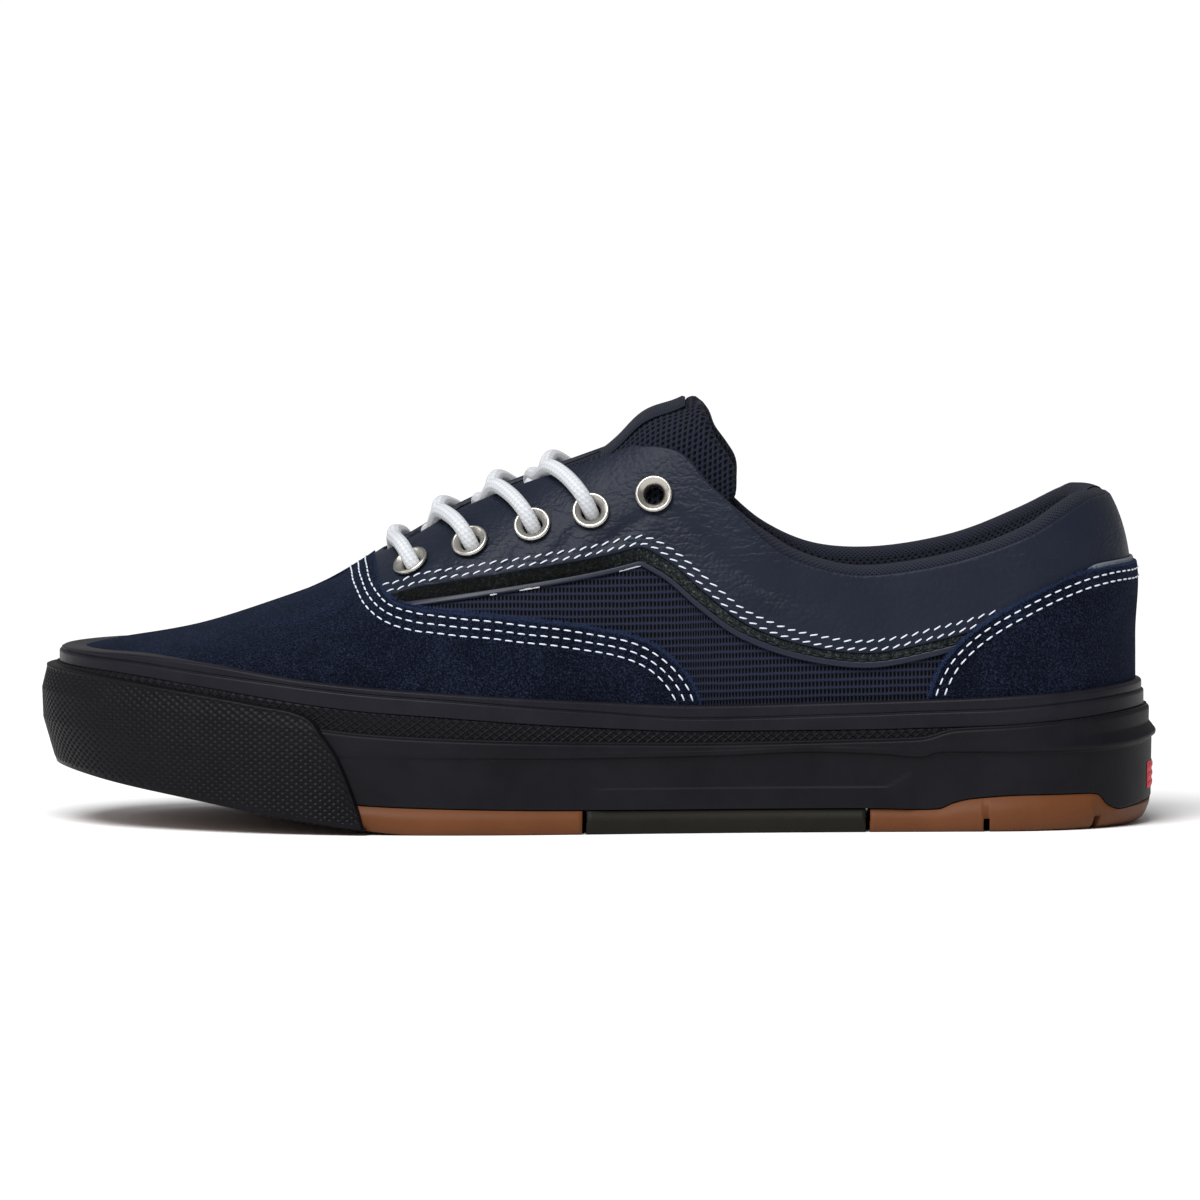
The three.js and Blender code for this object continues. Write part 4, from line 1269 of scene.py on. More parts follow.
class SHOE_OT_leather(bpy.types.Operator):
    """Make the leather eyestay and collar panel, with its piping and rough edge"""

    bl_idname = "shoe.leather"
    bl_label = "Leather panel"

    def execute(self, context):
        material = leather_finish()
        first = 0.275
        bend = np.linspace(first, 0.6, 250)
        rest = np.linspace(0.6, 1.0, 130)[1:]
        turn = around_of(np.concatenate([bend, rest]), -1)
        turn[-1] = 0.5
        around = np.concatenate([turn, 1 - turn[-2::-1]])
        side = np.where(np.arange(len(around)) < len(turn), -1, 1)
        along = along_of(around)
        low = up_at_height(around, panel_low(along))
        band = form.binding * smooth_step(along, 0.61, 0.67)
        left, free = collar_up(around, -1, band)
        right = collar_up(around, 1, band)[0]
        high = np.maximum(np.where(side < 0, left, right), low + 0.01)
        points = panel(around, low, high, form.leather, 64, free)
        hem = skin(around, low)
        lip = skin(around, low + 0.003, form.leather * 0.75)
        points = np.concatenate([hem[None], lip[None], points[1:]])
        leather = surface("collar_leather", points, material, keep=unpunched(points))
        mark(leather, "wrinkle", wrinkles)
        dress(leather, "leather", "collar_overlay")
        for name, sign in SIDES.items():
            self.strips(name, sign)
        return {"FINISHED"}

    def strips(self, name, sign):
        """The piping is a low flat band along the panel's line; the rough strip lies
        between it and the leather."""
        part = np.linspace(0, 1, 11)
        round_off = np.clip(1 - (2 * part - 1) ** 6, 0, 1) ** 0.5
        points = ribbon(part, sign, form.clearance + form.piping * round_off + 1e-4)
        piece = surface(f"piping_{name}", points, material_once("piping", piping_finish))
        dress(piece, "leather")
        part = np.linspace(0.95, 2.15, 10)
        out = form.clearance + form.raw_edge * smooth_step(part, 1.1, 1.3) + 1e-4
        points = ribbon(part, sign, out)
        piece = surface(f"raw_edge_{name}", points, material_once("raw_edge", raw_finish))
        dress(piece, "leather")


def material_once(name, make):
    return bpy.data.materials.get(name) or make()


def ribbon(parts, sign, out):
    """A strip along the panel's line: rows at parts of its strips, each some way out."""
    rows = []
    for part, distance in zip(parts, out):
        moved = resample(strip_line(part), 220)
        around = around_of(moved[:, 0], sign)
        up = up_at_height(around, on_upper(moved[:, 1]))
        rows.append(skin(around, up, distance))
    return np.array(rows)


def resample(line, count):
    """Points of a side-view line at even distances along it."""
    run = run_along(side_view(line))
    return at_run(np.linspace(0, run[-1], count), run, line)


# A stitch from end to end: share of the thread's radius, and place along the stitch.
STITCH = np.array(
    [(0.35, -0.5), (0.85, -0.4), (1.0, -0.15), (1.0, 0.15), (0.85, 0.4), (0.35, 0.5)]
)
STITCH_SIDES = 6
STITCH_ENDS = np.array([[0, 1, 2, 5], [2, 3, 4, 5]])


def stitches(points, normals, slanted=0.0):
    """Stitches along a row of points on the shoe: each is a short capsule that dips into
    the surface at both ends. Returns corner and face arrays."""
    radius = trim.thread
    run = run_along(points)
    pitch = trim.stitch + trim.stitch_gap
    count = int((run[-1] - trim.stitch) / pitch)
    if count < 1:
        return []
    centre = trim.stitch / 2 + np.arange(count + 1) * (run[-1] - trim.stitch) / count
    thick, part = STITCH.T
    angle = np.arange(STITCH_SIDES) * 2 * np.pi / STITCH_SIDES
    last = (len(STITCH) - 1) * STITCH_SIDES
    sides = quads_of(len(STITCH), STITCH_SIDES, True).reshape(-1, 4)
    faces = np.concatenate([sides, STITCH_ENDS[:, ::-1], STITCH_ENDS + last])
    made = []
    for middle in centre:
        place = middle + part * trim.stitch
        spot = at_run(place, run, points)
        out = unit(at_run(place, run, normals))
        onward = unit(np.gradient(spot, axis=0))
        across = np.cross(onward, out)
        dip = (1 - np.abs(part) * 2) ** 0.5
        slant = part * trim.slant * slanted + 0.00008 * np.sin(middle * 3700)
        centre_line = spot + out * (radius * (dip * 1.2 - 0.5))[:, None] + across * slant[:, None]
        size = (thick * radius)[:, None, None]
        ring = np.cos(angle)[None, :, None] * across[:, None, :]
        ring = ring + np.sin(angle)[None, :, None] * out[:, None, :]
        made.append((centre_line[:, None, :] + ring * size, faces))
    return made


def row_on_skin(line, sign, out, keep):
    """A side-view line put on the last, cut to where keep holds and below the crown."""
    before = line[:, 0] < 1.0
    if not before.all():
        last = [1.0, np.interp(1.0, line[:, 0], line[:, 1])]
        line = np.concatenate([line[before], [last]])
    line = resample(line, 500)
    turn = around_of(line[:, 0], sign)
    spot = last_point(turn, up_at_height(turn, on_upper(line[:, 1])))
    run = run_along(spot)
    even = np.linspace(0, run[-1], 600)
    around = np.interp(even, run, turn)
    line = np.stack([along_of(around), np.interp(even, run, line[:, 1])], -1)
    height = on_upper(line[:, 1])
    crown = last_point(around, 1.0)[:, 2]
    good = keep(line[:, 0], height) & (height < crown - 0.00003)
    line, around, height = line[good], around[good], height[good]
    up = up_at_height(around, height)
    return skin(around, up, out), skin_normal(around, up)


def spikes(roots, onward, out, reach, width):
    """Fine tapered hairs: each a three-sided spike from its root, joined in one array."""
    count = len(roots)
    side = unit(np.cross(onward, out))
    ring = []
    for turn in (0, 2 * np.pi / 3, 4 * np.pi / 3):
        ring.append(roots + (side * math.cos(turn) + out * math.sin(turn)) * width)
    tip = roots + onward * reach[:, None]
    tips = [tip + side * width * 0.1, tip - side * width * 0.1, tip]
    corners = np.stack([*ring, *tips], 1)
    faces = np.array([[0, 1, 4, 3], [1, 2, 5, 4], [2, 0, 3, 5]])
    faces = faces[None] + np.arange(count)[:, None, None] * 6
    return corners, faces


def fuzz(line, sign, out, count, seed):
    """Short hairs along a side-view line, leaning over the edge at mixed angles."""
    points, normals = row_on_skin(line, sign, out, over_band)
    chance = np.random.default_rng(seed)
    run = run_along(points)
    at = np.sort(chance.uniform(0, run[-1], count))
    root, normal = at_run(at, run, points), unit(at_run(at, run, normals))
    along = unit(at_run(at, run, unit(np.gradient(points, axis=0))))
    over = np.cross(normal, along)
    over = over * np.where(over[:, 2:] > 0, 1, -1)
    lean = chance.uniform(-0.9, 0.9, count)[:, None]
    lift = chance.uniform(-0.5, 0.7, count)[:, None]
    aim = unit(over + along * lean + normal * lift)
    reach = chance.uniform(0.0004, 0.0012, count)
    root = root - over * chance.uniform(0, 0.0009, count)[:, None]
    return spikes(root, aim, normal, reach, 0.00009)


def over_band(along, height):
    return height > sole_at("band", along) + 0.0006


def hairy_finish():
    """Pale navy fibres at the cut edges of the suede."""
    return Finish("suede_fibre", (0.02, 0.033, 0.08, 1), 0.9, 0.05).material


class SHOE_OT_fuzz(bpy.types.Operator):
    """Make the fibres at the suede's and the leather's cut edges"""

    bl_idname = "shoe.fuzz"
    bl_label = "Suede edge fibres"

    def execute(self, context):
        made, nap = [], []
        out = form.clearance + form.suede * 0.8
        rough = form.clearance + form.raw_edge
        for sign in SIDES.values():
            made.append(fuzz(vamp_line(), sign, out, 1500, 3 + sign))
            made.append(fuzz(curve(COUNTER_EDGE), sign, out + 0.0004, 1800, 8 + sign))
            nap.append(fuzz(strip_line(1.95), sign, rough, 1100, 15 + sign))
        piece = joined("suede_fibres", made, hairy_finish(), closed=False)
        dress(piece, "suede")
        raw = material_once("raw_edge", raw_finish)
        dress(joined("raw_fibres", nap, raw, closed=False), "leather")
        return {"FINISHED"}


class SHOE_OT_stitching(bpy.types.Operator):
    """Make the rows of white and dark stitches"""

    bl_idname = "shoe.stitching"
    bl_label = "Stitching"

    def execute(self, context):
        white, dark = [], []
        vamp, counter = vamp_line(), curve(COUNTER_EDGE)
        on_suede = form.clearance + form.suede
        on_leather = form.clearance + form.leather

        def on_panel(along, height):
            behind = (along < 0.81) | (height > line_at(counter[14:], along) + 0.0004)
            front = (along > 0.33) | (height > line_at(curve(VAMP_FRONT), along) + 0.0004)
            return behind & front & (along > 0.286)

        def on_sweep(along, height):
            return on_panel(along, height) & (along > 0.55)

        for sign in SIDES.values():
            for offset in (0.0021, 0.0043, 0.0065):
                row = offset_line(vamp, offset)
                white += stitches(*row_on_skin(row, sign, on_suede, over_band))
            for offset in (-0.0021, -0.0043):
                row = offset_line(counter, offset)
                points, normals = row_on_skin(row, sign, on_suede, over_band)
                points = points + normals * flare_at(along_at(points[:, 0]))[:, None]
                white += stitches(points, normals)
            for part in (3, 4):
                row = strip_line(part)
                white += stitches(*row_on_skin(row, sign, on_leather, on_panel), sign)
            row = strip_line(1.12)
            dark += stitches(*row_on_skin(row, sign, form.clearance + 0.0007, on_sweep))
        thread = thread_finish("white_thread", colours.thread)
        dress(joined("white_stitches", white, thread), "lace")
        shade = bright(colours.leather, 0.15)
        dress(joined("dark_stitches", dark, thread_finish("dark_thread", shade)), "leather")
        return {"FINISHED"}


class SHOE_OT_tongue(bpy.types.Operator):
    """Make the padded tongue and its label"""

    bl_idname = "shoe.tongue"
    bl_label = "Tongue and label"

    def execute(self, context):
        across = np.linspace(-1, 1, 121)
        start = 0.25
        sign = np.where(across < 0, -1, 1)
        lean = 1 - np.abs(across)
        end = self.end_along(sign, lean)
        steps = np.linspace(0, 1, 150)[:, None]
        along = start + (end - start)[None, :] * steps
        around = around_of(along, sign[None, :])
        up = self.up_across(around, along, lean)
        outer = self.outer(along, lean)
        middle = skin(around, up, outer, form.tongue_sink)
        onward = np.linalg.norm(np.diff(middle, axis=0), axis=2)
        to_end = np.concatenate([onward[::-1].cumsum(0)[::-1], np.zeros((1, len(across)))])
        sideways = np.linalg.norm(np.diff(middle, axis=1), axis=2)
        from_left = np.concatenate([np.zeros((len(steps), 1)), sideways.cumsum(1)], 1)
        to_side = np.minimum(from_left, from_left[:, -1:] - from_left)
        gap = np.minimum(to_end, to_side)
        half = form.tongue_thickness / 2
        full = np.clip(gap / half, 0, 1)
        round_off = half * (1 - np.sqrt(np.clip(1 - (1 - full) ** 2, 0, 1)))
        seam = 0.0005 * np.exp(-(((gap - 0.0042) / 0.0007) ** 2))
        puff = 0.0004 * smooth_step(gap, 0.004, 0.012)
        top = skin(around, up, outer - round_off - seam + puff, form.tongue_sink)
        low = skin(around, up, outer - 2 * half + round_off, form.tongue_sink)
        shade = bright(colours.mesh, 0.8)
        mesh = woven_finish("tongue_mesh", shade, 0.0016, 0.0017, 0.0009, 0.36)
        points = np.concatenate([top, low[:, ::-1]], axis=1)
        points = np.concatenate([points, points[:, :1]], axis=1)
        beside = from_left - from_left[:, 60:61]
        length_run = np.concatenate([[0], onward[:, 60].cumsum()])
        pace = length_run[-1] / (along[-1, 60] - start)
        over = np.maximum(along - along[-1, 60], 0) * pace
        ahead = np.interp(along, along[:, 60], length_run) + over
        flat = np.stack([beside, ahead], -1)
        flat = np.concatenate([flat, flat[:, ::-1], flat[:, :1]], axis=1)
        piece = surface("tongue_padding", points, mesh, facing=0, uv=flat, closed=True)
        dress(piece, "mesh", "tongue")
        self.label()
        return {"FINISHED"}

    def up_across(self, around, along, lean):
        """Up from the tongue's lower edge to the crown, by the place across it."""
        foot = line_at(curve(TONGUE_FOOT), along)
        low = up_at_height(around, foot, form.tongue_sink)
        return low + (1 - low) * lean

    def outer(self, along, lean):
        """How far out its outer face lies; near the top the padding swells."""
        swell = np.exp(-(((along - 0.538) / 0.022) ** 2)) * smooth_step(lean, 0.5, 0.9)
        return 0.0018 * swell - (form.wall + 3.5 * form.clearance)

    def end_along(self, sign, lean):
        """Halves the run until the tongue's surface meets its end line in side view."""
        line = curve(TONGUE_END)[::-1]
        low, high = np.full(lean.shape, 0.5), np.full(lean.shape, 0.634)
        for _ in range(24):
            along = (low + high) / 2
            around = around_of(along, sign)
            up = self.up_across(around, along, lean)
            point = skin(around, up, self.outer(along, lean), form.tongue_sink)
            limit = np.interp(up_share(point[:, 2]), line[:, 1], line[:, 0])
            inside = along_at(point[:, 0]) < limit
            low, high = np.where(inside, along, low), np.where(inside, high, along)
        return low

    def label(self):
        """A woven strip across the tongue's top, lying on its padding."""
        across = np.linspace(-1, 1, 41)
        along = np.linspace(0.493, 0.5745, 44)[:, None]
        sign = np.where(across < 0, -1, 1)
        half = 0.0126 * np.abs(across)
        around = around_of(along, sign[None, :])
        up = up_beside(around, half, form.tongue_sink)
        edge = np.minimum(1 - np.abs(across)[None, :], np.minimum(
            (along - along[0]) / 0.08, (along[-1] - along) / 0.08) * 6)
        outer = self.outer(along, np.ones(along.shape))
        out = outer + 0.0005 + 0.0006 * np.clip(edge / 0.08, 0, 1) ** 0.5
        points = skin(around, up, out, form.tongue_sink)
        base = (0.009, 0.0105, 0.016, 1)
        finish = woven_finish("label_weave", base, 0.0006, 0.0006, 0.00006)
        piece = surface("tongue_strip", points, finish)
        dress(piece, "leather", "tongue_label")


class SHOE_OT_insole(bpy.types.Operator):
    """Make the insole"""

    bl_idname = "shoe.insole"
    bl_label = "Insole"

    def execute(self, context):
        around = np.linspace(0, 0.5, 160)
        along = along_of(around)
        inside = -(form.wall + 1.5 * form.clearance)
        top = sole_at("seat", along) + form.clearance + form.insole
        left = outline(around, inside, top)
        right = outline(1 - around, inside, top)
        across = np.linspace(0, 1, 60)[:, None, None]
        points = left + (right - left) * across
        rim = np.abs(2 * across[..., 0] - 1)
        points[..., 2] += 0.0022 * rim**6 * smooth_step(along, 0.55, 0.75)
        points[..., 2] -= 0.0006 * (1 - rim**2) * smooth_step(along, 0.7, 0.85)
        finish = woven_finish("insole_cloth", colours.lining, 0.0008, 0.0008, 0.00012)
        low = points.copy()
        low[..., 2] -= form.insole
        closed = np.concatenate([points, low[::-1], points[:1]])
        piece = surface("insole_bed", closed, finish, facing=0, closed=True)
        dress(piece, "lining", "insole")
        return {"FINISHED"}


def rounded_profile(levels, rows, soft=3):
    """Heights and distances out of a wall, from a list of (height, out) rows: joined by
    straight lines, sampled evenly, and blurred a little so that the corners are round."""
    height = np.array([np.broadcast_to(h, levels[0][0].shape) for h, _ in levels])
    out = np.array([np.broadcast_to(o, levels[0][0].shape) for _, o in levels])
    count = len(levels) - 1
    size = np.hypot(np.diff(height, axis=0), np.diff(out, axis=0)).mean(1)
    run = np.concatenate([[0], np.cumsum(size)])
    even = np.linspace(0, run[-1], rows)
    i = np.clip(np.searchsorted(run, even, side="right") - 1, 0, count - 1)
    t = ((even - run[i]) / (run[i + 1] - run[i]))[:, None]
    height = height[i] * (1 - t) + height[i + 1] * t
    out = out[i] * (1 - t) + out[i + 1] * t
    for _ in range(soft):
        out[1:-1] = (out[:-2] + 2 * out[1:-1] + out[2:]) / 4
        height[1:-1] = (height[:-2] + 2 * height[1:-1] + height[2:]) / 4
    return height, out


def ring_around(count):
    around = np.linspace(0, 1, count + 1)
    return around, along_of(around)


class SHOE_OT_midsole(bpy.types.Operator):
    """Make the cup, its knurled strip and the foxing band"""

    bl_idname = "shoe.midsole"
    bl_label = "Cup and foxing"

    def execute(self, context):
        rubber = rubber_finish("cup_rubber", colours.rubber)
        around, along = ring_around(620)
        edge = sole.edge
        foot, ledge = cup_at("split", along), cup_at("ledge", along)
        strip, rim = sole_at("strip", along), sole_at("rim", along)
        shelf = step_at("shelf", along) + 0.0003
        shelf_top = step_at("shelf_top", along) + 0.0003
        waist = 0.45 + 0.6 * smooth_step(along, 0.9, 0.99)
        levels = [
            (foot, step_at("foot", along) - 0.003),
            (foot, step_at("foot", along)),
            (ledge - edge, step_at("ledge", along)),
            (ledge, shelf - 0.0001),
            (ledge + 0.001, shelf),
            (ledge + (strip - ledge) * 0.45, shelf * (1 - waist) + shelf_top * waist),
            (strip - edge, shelf_top),
            (strip - edge / 4, shelf_top - edge / 2),
            (strip, step_at("strip", along)),
            (strip + 0.0004, step_at("strip", along)),
        ]
        height, out = rounded_profile(levels, 110, 1)
        out = out + self.relief(length_at(along), height)
        piece = surface("cup", outline(around[None, :], out, height), rubber)
        dress(piece, "rubber", "midsole")
        levels = [
            (strip - 0.0004, step_at("strip", along) - 0.0003),
            (strip + 0.0002, step_at("strip", along)),
            (rim - 0.0003, step_at("rim", along)),
            (rim, step_at("rim", along) - 0.0003),
            (rim, sole.foxing - 0.001),
        ]
        height, out = rounded_profile(levels, 26, 1)
        points = outline(around[None, :], out, height)
        dress(surface("cup_strip", points, strip_finish()), "rubber")
        self.band(around, along)
        return {"FINISHED"}

    def relief(self, x, height):
        """The lower wall stands a little proud below a line that ends in a slope."""
        line = 0.0123 + np.clip(x - 0.0776, 0, 0.0069) * 0.62
        below = 1 - smooth_step(height, line - 0.0003, line + 0.0003)
        return 0.0003 * below * smooth_step(x, -0.004, 0.002) * (1 - smooth_step(x, 0.083, 0.086))

    def band(self, around, along):
        """The foxing band: a wall with a line round it and a rounded top."""
        rim, top = sole_at("rim", along), sole_at("band", along)
        line = rim + (top - rim) * read(SOLE, "groove", along)
        thin = sole.foxing - sole.foxing_step
        levels = [
            (rim, 0.001),
            (rim, sole.foxing),
            (line - 0.0005, sole.foxing),
            (line - 0.0002, sole.foxing - 0.0002),
            (line, sole.foxing - sole.line_depth - 0.0003),
            (line + 0.0004, thin),
            (top - sole.edge, thin),
            (top - 0.0001, thin - sole.edge),
            (top, form.suede - 0.0004),
            (top - 0.0002, form.suede - 0.0004 - 0.007 * (1 - smooth_step(along, 0.04, 0.16))),
        ]
        height, out = rounded_profile(levels, 60, 1)
        points = outline(around[None, :], out, height)
        # The foxing's colour is the cup's rubber made 1.75 times as bright to stand for its satin
        # sheen: painted sheen.
        finish = rubber_finish("foxing_rubber", bright(colours.rubber, 1.75), 0.4)
        dress(surface("foxing", points, finish), "rubber", "foxing_band")


class SHOE_OT_bumper(bpy.types.Operator):
    """Make the toe bumper with its diamonds"""

    bl_idname = "shoe.bumper"
    bl_label = "Toe bumper"

    def execute(self, context):
        line = curve(BUMPER_EDGE)
        line = line[line[:, 0] > -0.01]
        order = np.argsort(line[:, 0])
        spots = np.linspace(0, line[:, 0].max() - 1e-4, 400)
        signed = np.linspace(0, around_of(spots[-1], -1), 420)
        signed = np.concatenate([-signed[:0:-1], signed])
        around = turn_of(signed)
        along = along_of(around)
        high = form.sole_height * np.interp(along, line[order, 0], line[order, 1])
        top = np.minimum(high, sole_at("rim", along) - form.clearance)
        low = sole_at("ground", along) + 0.0002
        top = np.maximum(top, low + 0.0003)
        rows = 92
        height = low + (top - low) * np.linspace(0, 1, rows)[:, None]
        out = self.out_at(along, height)
        onward = run_along(outline(around, 0.0, 0.0))
        onward = onward - onward[len(onward) // 2]
        away = self.away_from_edge(line, along, height)
        raised = self.diamonds(onward[None, :], height)
        plain = smooth_step(away, 0.0006, 0.0012)
        fade = smooth_step(height - low, 0.0008, 0.0016)
        out = out + raised * plain * fade
        rim = 0.0004 * np.exp(-(((away - 0.0006) / 0.0004) ** 2))
        out = out + rim - 0.0016 * np.clip(1 - away / 0.0007, 0, 1) ** 2
        points = outline(around[None, :], out, height)
        inner = outline(around, step_at("foot", along) - 0.001, top)
        bottom = outline(around, step_at("foot", along) - 0.001, low + 0.0004)
        points = np.concatenate([bottom[None], points, inner[None]])
        # The bumper's colour is the cup's rubber at 0.6 times the brightness, darkened against the
        # brighter reflections of its turned faces: painted shade.
        finish = rubber_finish("bumper_rubber", bright(colours.rubber, 0.6), 0.42)
        dress(surface("bumper", points, finish), "rubber", "toe_bumper")
        return {"FINISHED"}

    def out_at(self, along, height):
        """Distance out at a height: straight lines between the wall's steps."""
        steps = [
            (sole_at("ground", along), "foot", 0.7),
            (sole_at("ledge", along), "ledge", 1.0),
            (sole_at("strip", along), "shelf_top", 1.0),
            (sole_at("rim", along), "rim", 0.8),
        ]
        outs = [step_at(name, along) + proud * sole.bumper_proud for _, name, proud in steps]
        out = np.broadcast_to(outs[0], height.shape).copy()
        for i in range(3):
            t = np.clip((height - steps[i][0]) / (steps[i + 1][0] - steps[i][0]), 0, 1)
            out = np.where(height > steps[i][0], outs[i] + (outs[i + 1] - outs[i]) * t, out)
        return out

    def away_from_edge(self, line, along, height):
        """Distance in side view from the bumper's slanted and upper edge."""
        edge = np.stack([length_at(line[:, 0]), form.sole_height * line[:, 1]], -1)
        spot = np.stack([np.broadcast_to(length_at(along), height.shape), height], -1)
        return gap_to(spot, edge)

    def diamonds(self, onward, height):
        """Two crossed waves; the higher one shows, so pits form diamonds."""
        u = 2 * np.pi * onward / (sole.knurl * 1.25)
        v = 2 * np.pi * height / (sole.knurl * 0.95)
        ridge = np.maximum(np.cos(u + v), np.cos(u - v))
        return sole.knurl_height * (ridge - 0.4)


def sweep(name, sections, material):
    """A closed body from ring sections (stations, points), drawn in to a line at both
    ends, so that the end walls are flat. An end that is a line already closes at its
    middle."""
    narrow = 0.001

    def cap(section):
        if np.ptp(section[:, 1]) < narrow:
            return np.broadcast_to(section.mean(axis=0), section.shape)
        middle = section.copy()
        middle[:, 2] = (section[:, 2].min() + section[:, 2].max()) / 2
        return middle

    sections = np.concatenate([cap(sections[0])[None], sections, cap(sections[-1])[None]])
    sections = np.concatenate([sections, sections[:, :1]], axis=1)
    return surface(name, sections, material, facing=0, closed=True)


PAD_SLOTS = (0.479, 0.7487)
HEEL_SLOTS = (0.8635, 0.9585)


class SHOE_OT_outsole(bpy.types.Operator):
    """Make the three outsole pads with their tread"""

    bl_idname = "shoe.outsole"
    bl_label = "Outsole"

    def execute(self, context):
        gum = rubber_finish("gum_rubber", colours.gum, 0.48, 0.12)
        olive = rubber_finish("arch_rubber", colours.olive, 0.5, 0.2)
        gap = sole.pad_gap / form.last_length
        ends = [(0.0, PAD_SLOTS[0]), (PAD_SLOTS[0] + gap, PAD_SLOTS[1]), (PAD_SLOTS[1] + gap, 1.0)]
        names = ["forefoot", "arch", "heel"]
        counts = [190, 60, 110]
        for (first, last), part, count in zip(ends, names, counts):
            sections = self.pad(first, last, part, count)
            material = olive if part == "arch" else gum
            piece = sweep(f"{part}_pad", sections, material)
            dress(piece, "olive" if part == "arch" else "gum", f"outsole_{part}")
        return {"FINISHED"}

    def pad(self, first, last, part, count):
        """Ring sections of one pad: up its outer side, across its top, down its inner
        side and back across its tread, whose height is the grooves' depth."""
        turns = np.linspace(around_of(first, -1), around_of(last, -1), count)
        if part == "heel":
            turns = np.unique(np.concatenate([turns, *self.slot_turns()]))
        along = along_of(turns)
        ground, split = sole_at("ground", along), cup_at("split", along) - form.clearance
        foot = step_at("foot", along) - 0.0002
        bevel = step_at("bevel", along)
        profile = [(0.0, 1.0), (0.2, 0.66), (0.45, 0.4), (1.0, 0.2), (1.6, 0.05)]
        tall = sole.bevel * (1 + 1.2 * smooth_step(along, 0.93, 0.99))
        left, right = [], []
        for rise, inward in profile:
            height = np.minimum(ground + rise * tall, split)
            left.append(outline(turns, foot - bevel * inward, height))
            right.append(outline(1 - turns, foot - bevel * inward, height))
        left.append(outline(turns, foot, split))
        right.append(outline(1 - turns, foot, split))
        share_across = np.linspace(0, 1, 150 if part != "arch" else 12)[1:-1]
        tread = left[0][:, None, :] + (right[0] - left[0])[:, None, :] * share_across[None, :, None]
        if part != "arch":
            tread[..., 2] += self.grooves(tread, first, last, part)
        sections = np.concatenate([np.stack(left[::-1], 1), tread, np.stack(right, 1)], axis=1)
        if part == "heel":
            sections = self.notches(sections, along)
        return sections

    def slot_turns(self):
        """Extra stations at both sides of each notch, so that its walls are upright."""
        half = sole.notch_width / 2 / form.last_length
        offsets = np.array([-1.04, -0.96, 0.96, 1.04]) * half
        return [around_of(at + offsets, -1) for at in HEEL_SLOTS]

    def notches(self, sections, along):
        """The two slots through the heel pad: its underside is lifted there."""
        for at in HEEL_SLOTS:
            away = np.abs(along - at) * form.last_length
            inside = away < sole.notch_width / 2
            top = sole.notch_depth + sections[..., 2].min(axis=1)
            lifted = np.maximum(sections[..., 2], top[:, None])
            sections[..., 2] = np.where(inside[:, None], lifted, sections[..., 2])
        return sections

    def cut_at(self, away):
        """One in a groove and nothing beside it, by the distance from its middle."""
        half = sole.groove_width / 2
        return smooth_step(-away, -half - 0.0003, -half + 0.0003)

    def grooves(self, points, first, last, part):
        """Depth of the tread: straight grooves across and along, soft at their edges,
        with fine ribs on the blocks between them."""
        margin = 0.04
        start = 0.06 if part == "forefoot" else first - sole.pad_gap / form.last_length + margin
        stop = (last if part == "forefoot" else 1.0) - margin
        count = int((stop - start) * form.last_length / sole.tread_pitch)
        x = along_at(points[..., 0])
        room = half_width(x) - sole.tread_border
        beside = points[..., 1] - middle_at(x)
        inside = smooth_step(room - np.abs(beside), -0.0004, 0.0004)
        across = np.abs((x - start) / (stop - start) * count)
        near = np.abs(across - np.round(across)) * (stop - start) * form.last_length / count
        within = (np.round(across) <= count) & (x > start - 0.01) & (x < stop + 0.01)
        cut = self.cut_at(near)
        lane = points[..., 1] - middle_at(start)
        away = np.abs(lane - np.round(lane / sole.tread_pitch) * sole.tread_pitch)
        span = (x > start) & (x < stop)
        depth = np.maximum(cut * within, self.cut_at(away) * span) * inside
        ribs = 0.5 + 0.5 * np.cos(2 * np.pi * (points[..., 0] + points[..., 1]) / 0.0034)
        fine = 0.0005 * smooth_step(ribs, 0.55, 0.9) * inside * span
        return np.maximum(depth * sole.tread_depth, fine)


class SHOE_OT_heel_patch(bpy.types.Operator):
    """Make the ribbed red patch on the back of the cup"""

    bl_idname = "shoe.heel_patch"
    bl_label = "Heel patch"

    def execute(self, context):
        low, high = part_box("heel_tab")
        turns = np.linspace(0.44, 0.56, 400)
        wall = outline(turns, 0.0, 0.0)
        width = np.linspace(low.y, high.y, 90)
        order = np.argsort(wall[:, 1])
        around = np.interp(width, wall[order, 1], turns[order])
        along = along_of(around)
        share_up = np.linspace(0, 1, 60)[:, None]
        height = low.z + (high.z - low.z) * share_up
        foot, ledge = cup_at("split", along), cup_at("ledge", along) - sole.edge
        t = (height - foot) / (ledge - foot)
        base = step_at("foot", along) * (1 - t) + step_at("ledge", along) * t
        ribs = smooth_step(np.cos(2 * np.pi * 3 * share_up - np.pi), -0.2, 0.4)
        inside = np.minimum(share_up * (1 - share_up) * 20, 1)
        side = np.minimum(width - low.y, high.y - width)
        round_side = np.sqrt(np.clip(side / 0.0008, 0, 1))
        out = base + 0.0001 + (0.0001 + 0.0002 * ribs * smooth_step(side, 0.001, 0.0018)) * (
            np.sqrt(inside) * round_side
        )
        points = outline(around, out, height)
        finish = rubber_finish("red_rubber", colours.red, 0.42, 0.1)
        dress(surface("heel_patch", points, finish), "red", "heel_tab")
        return {"FINISHED"}


def eyelet_seat():
    return 2 * form.clearance + form.leather


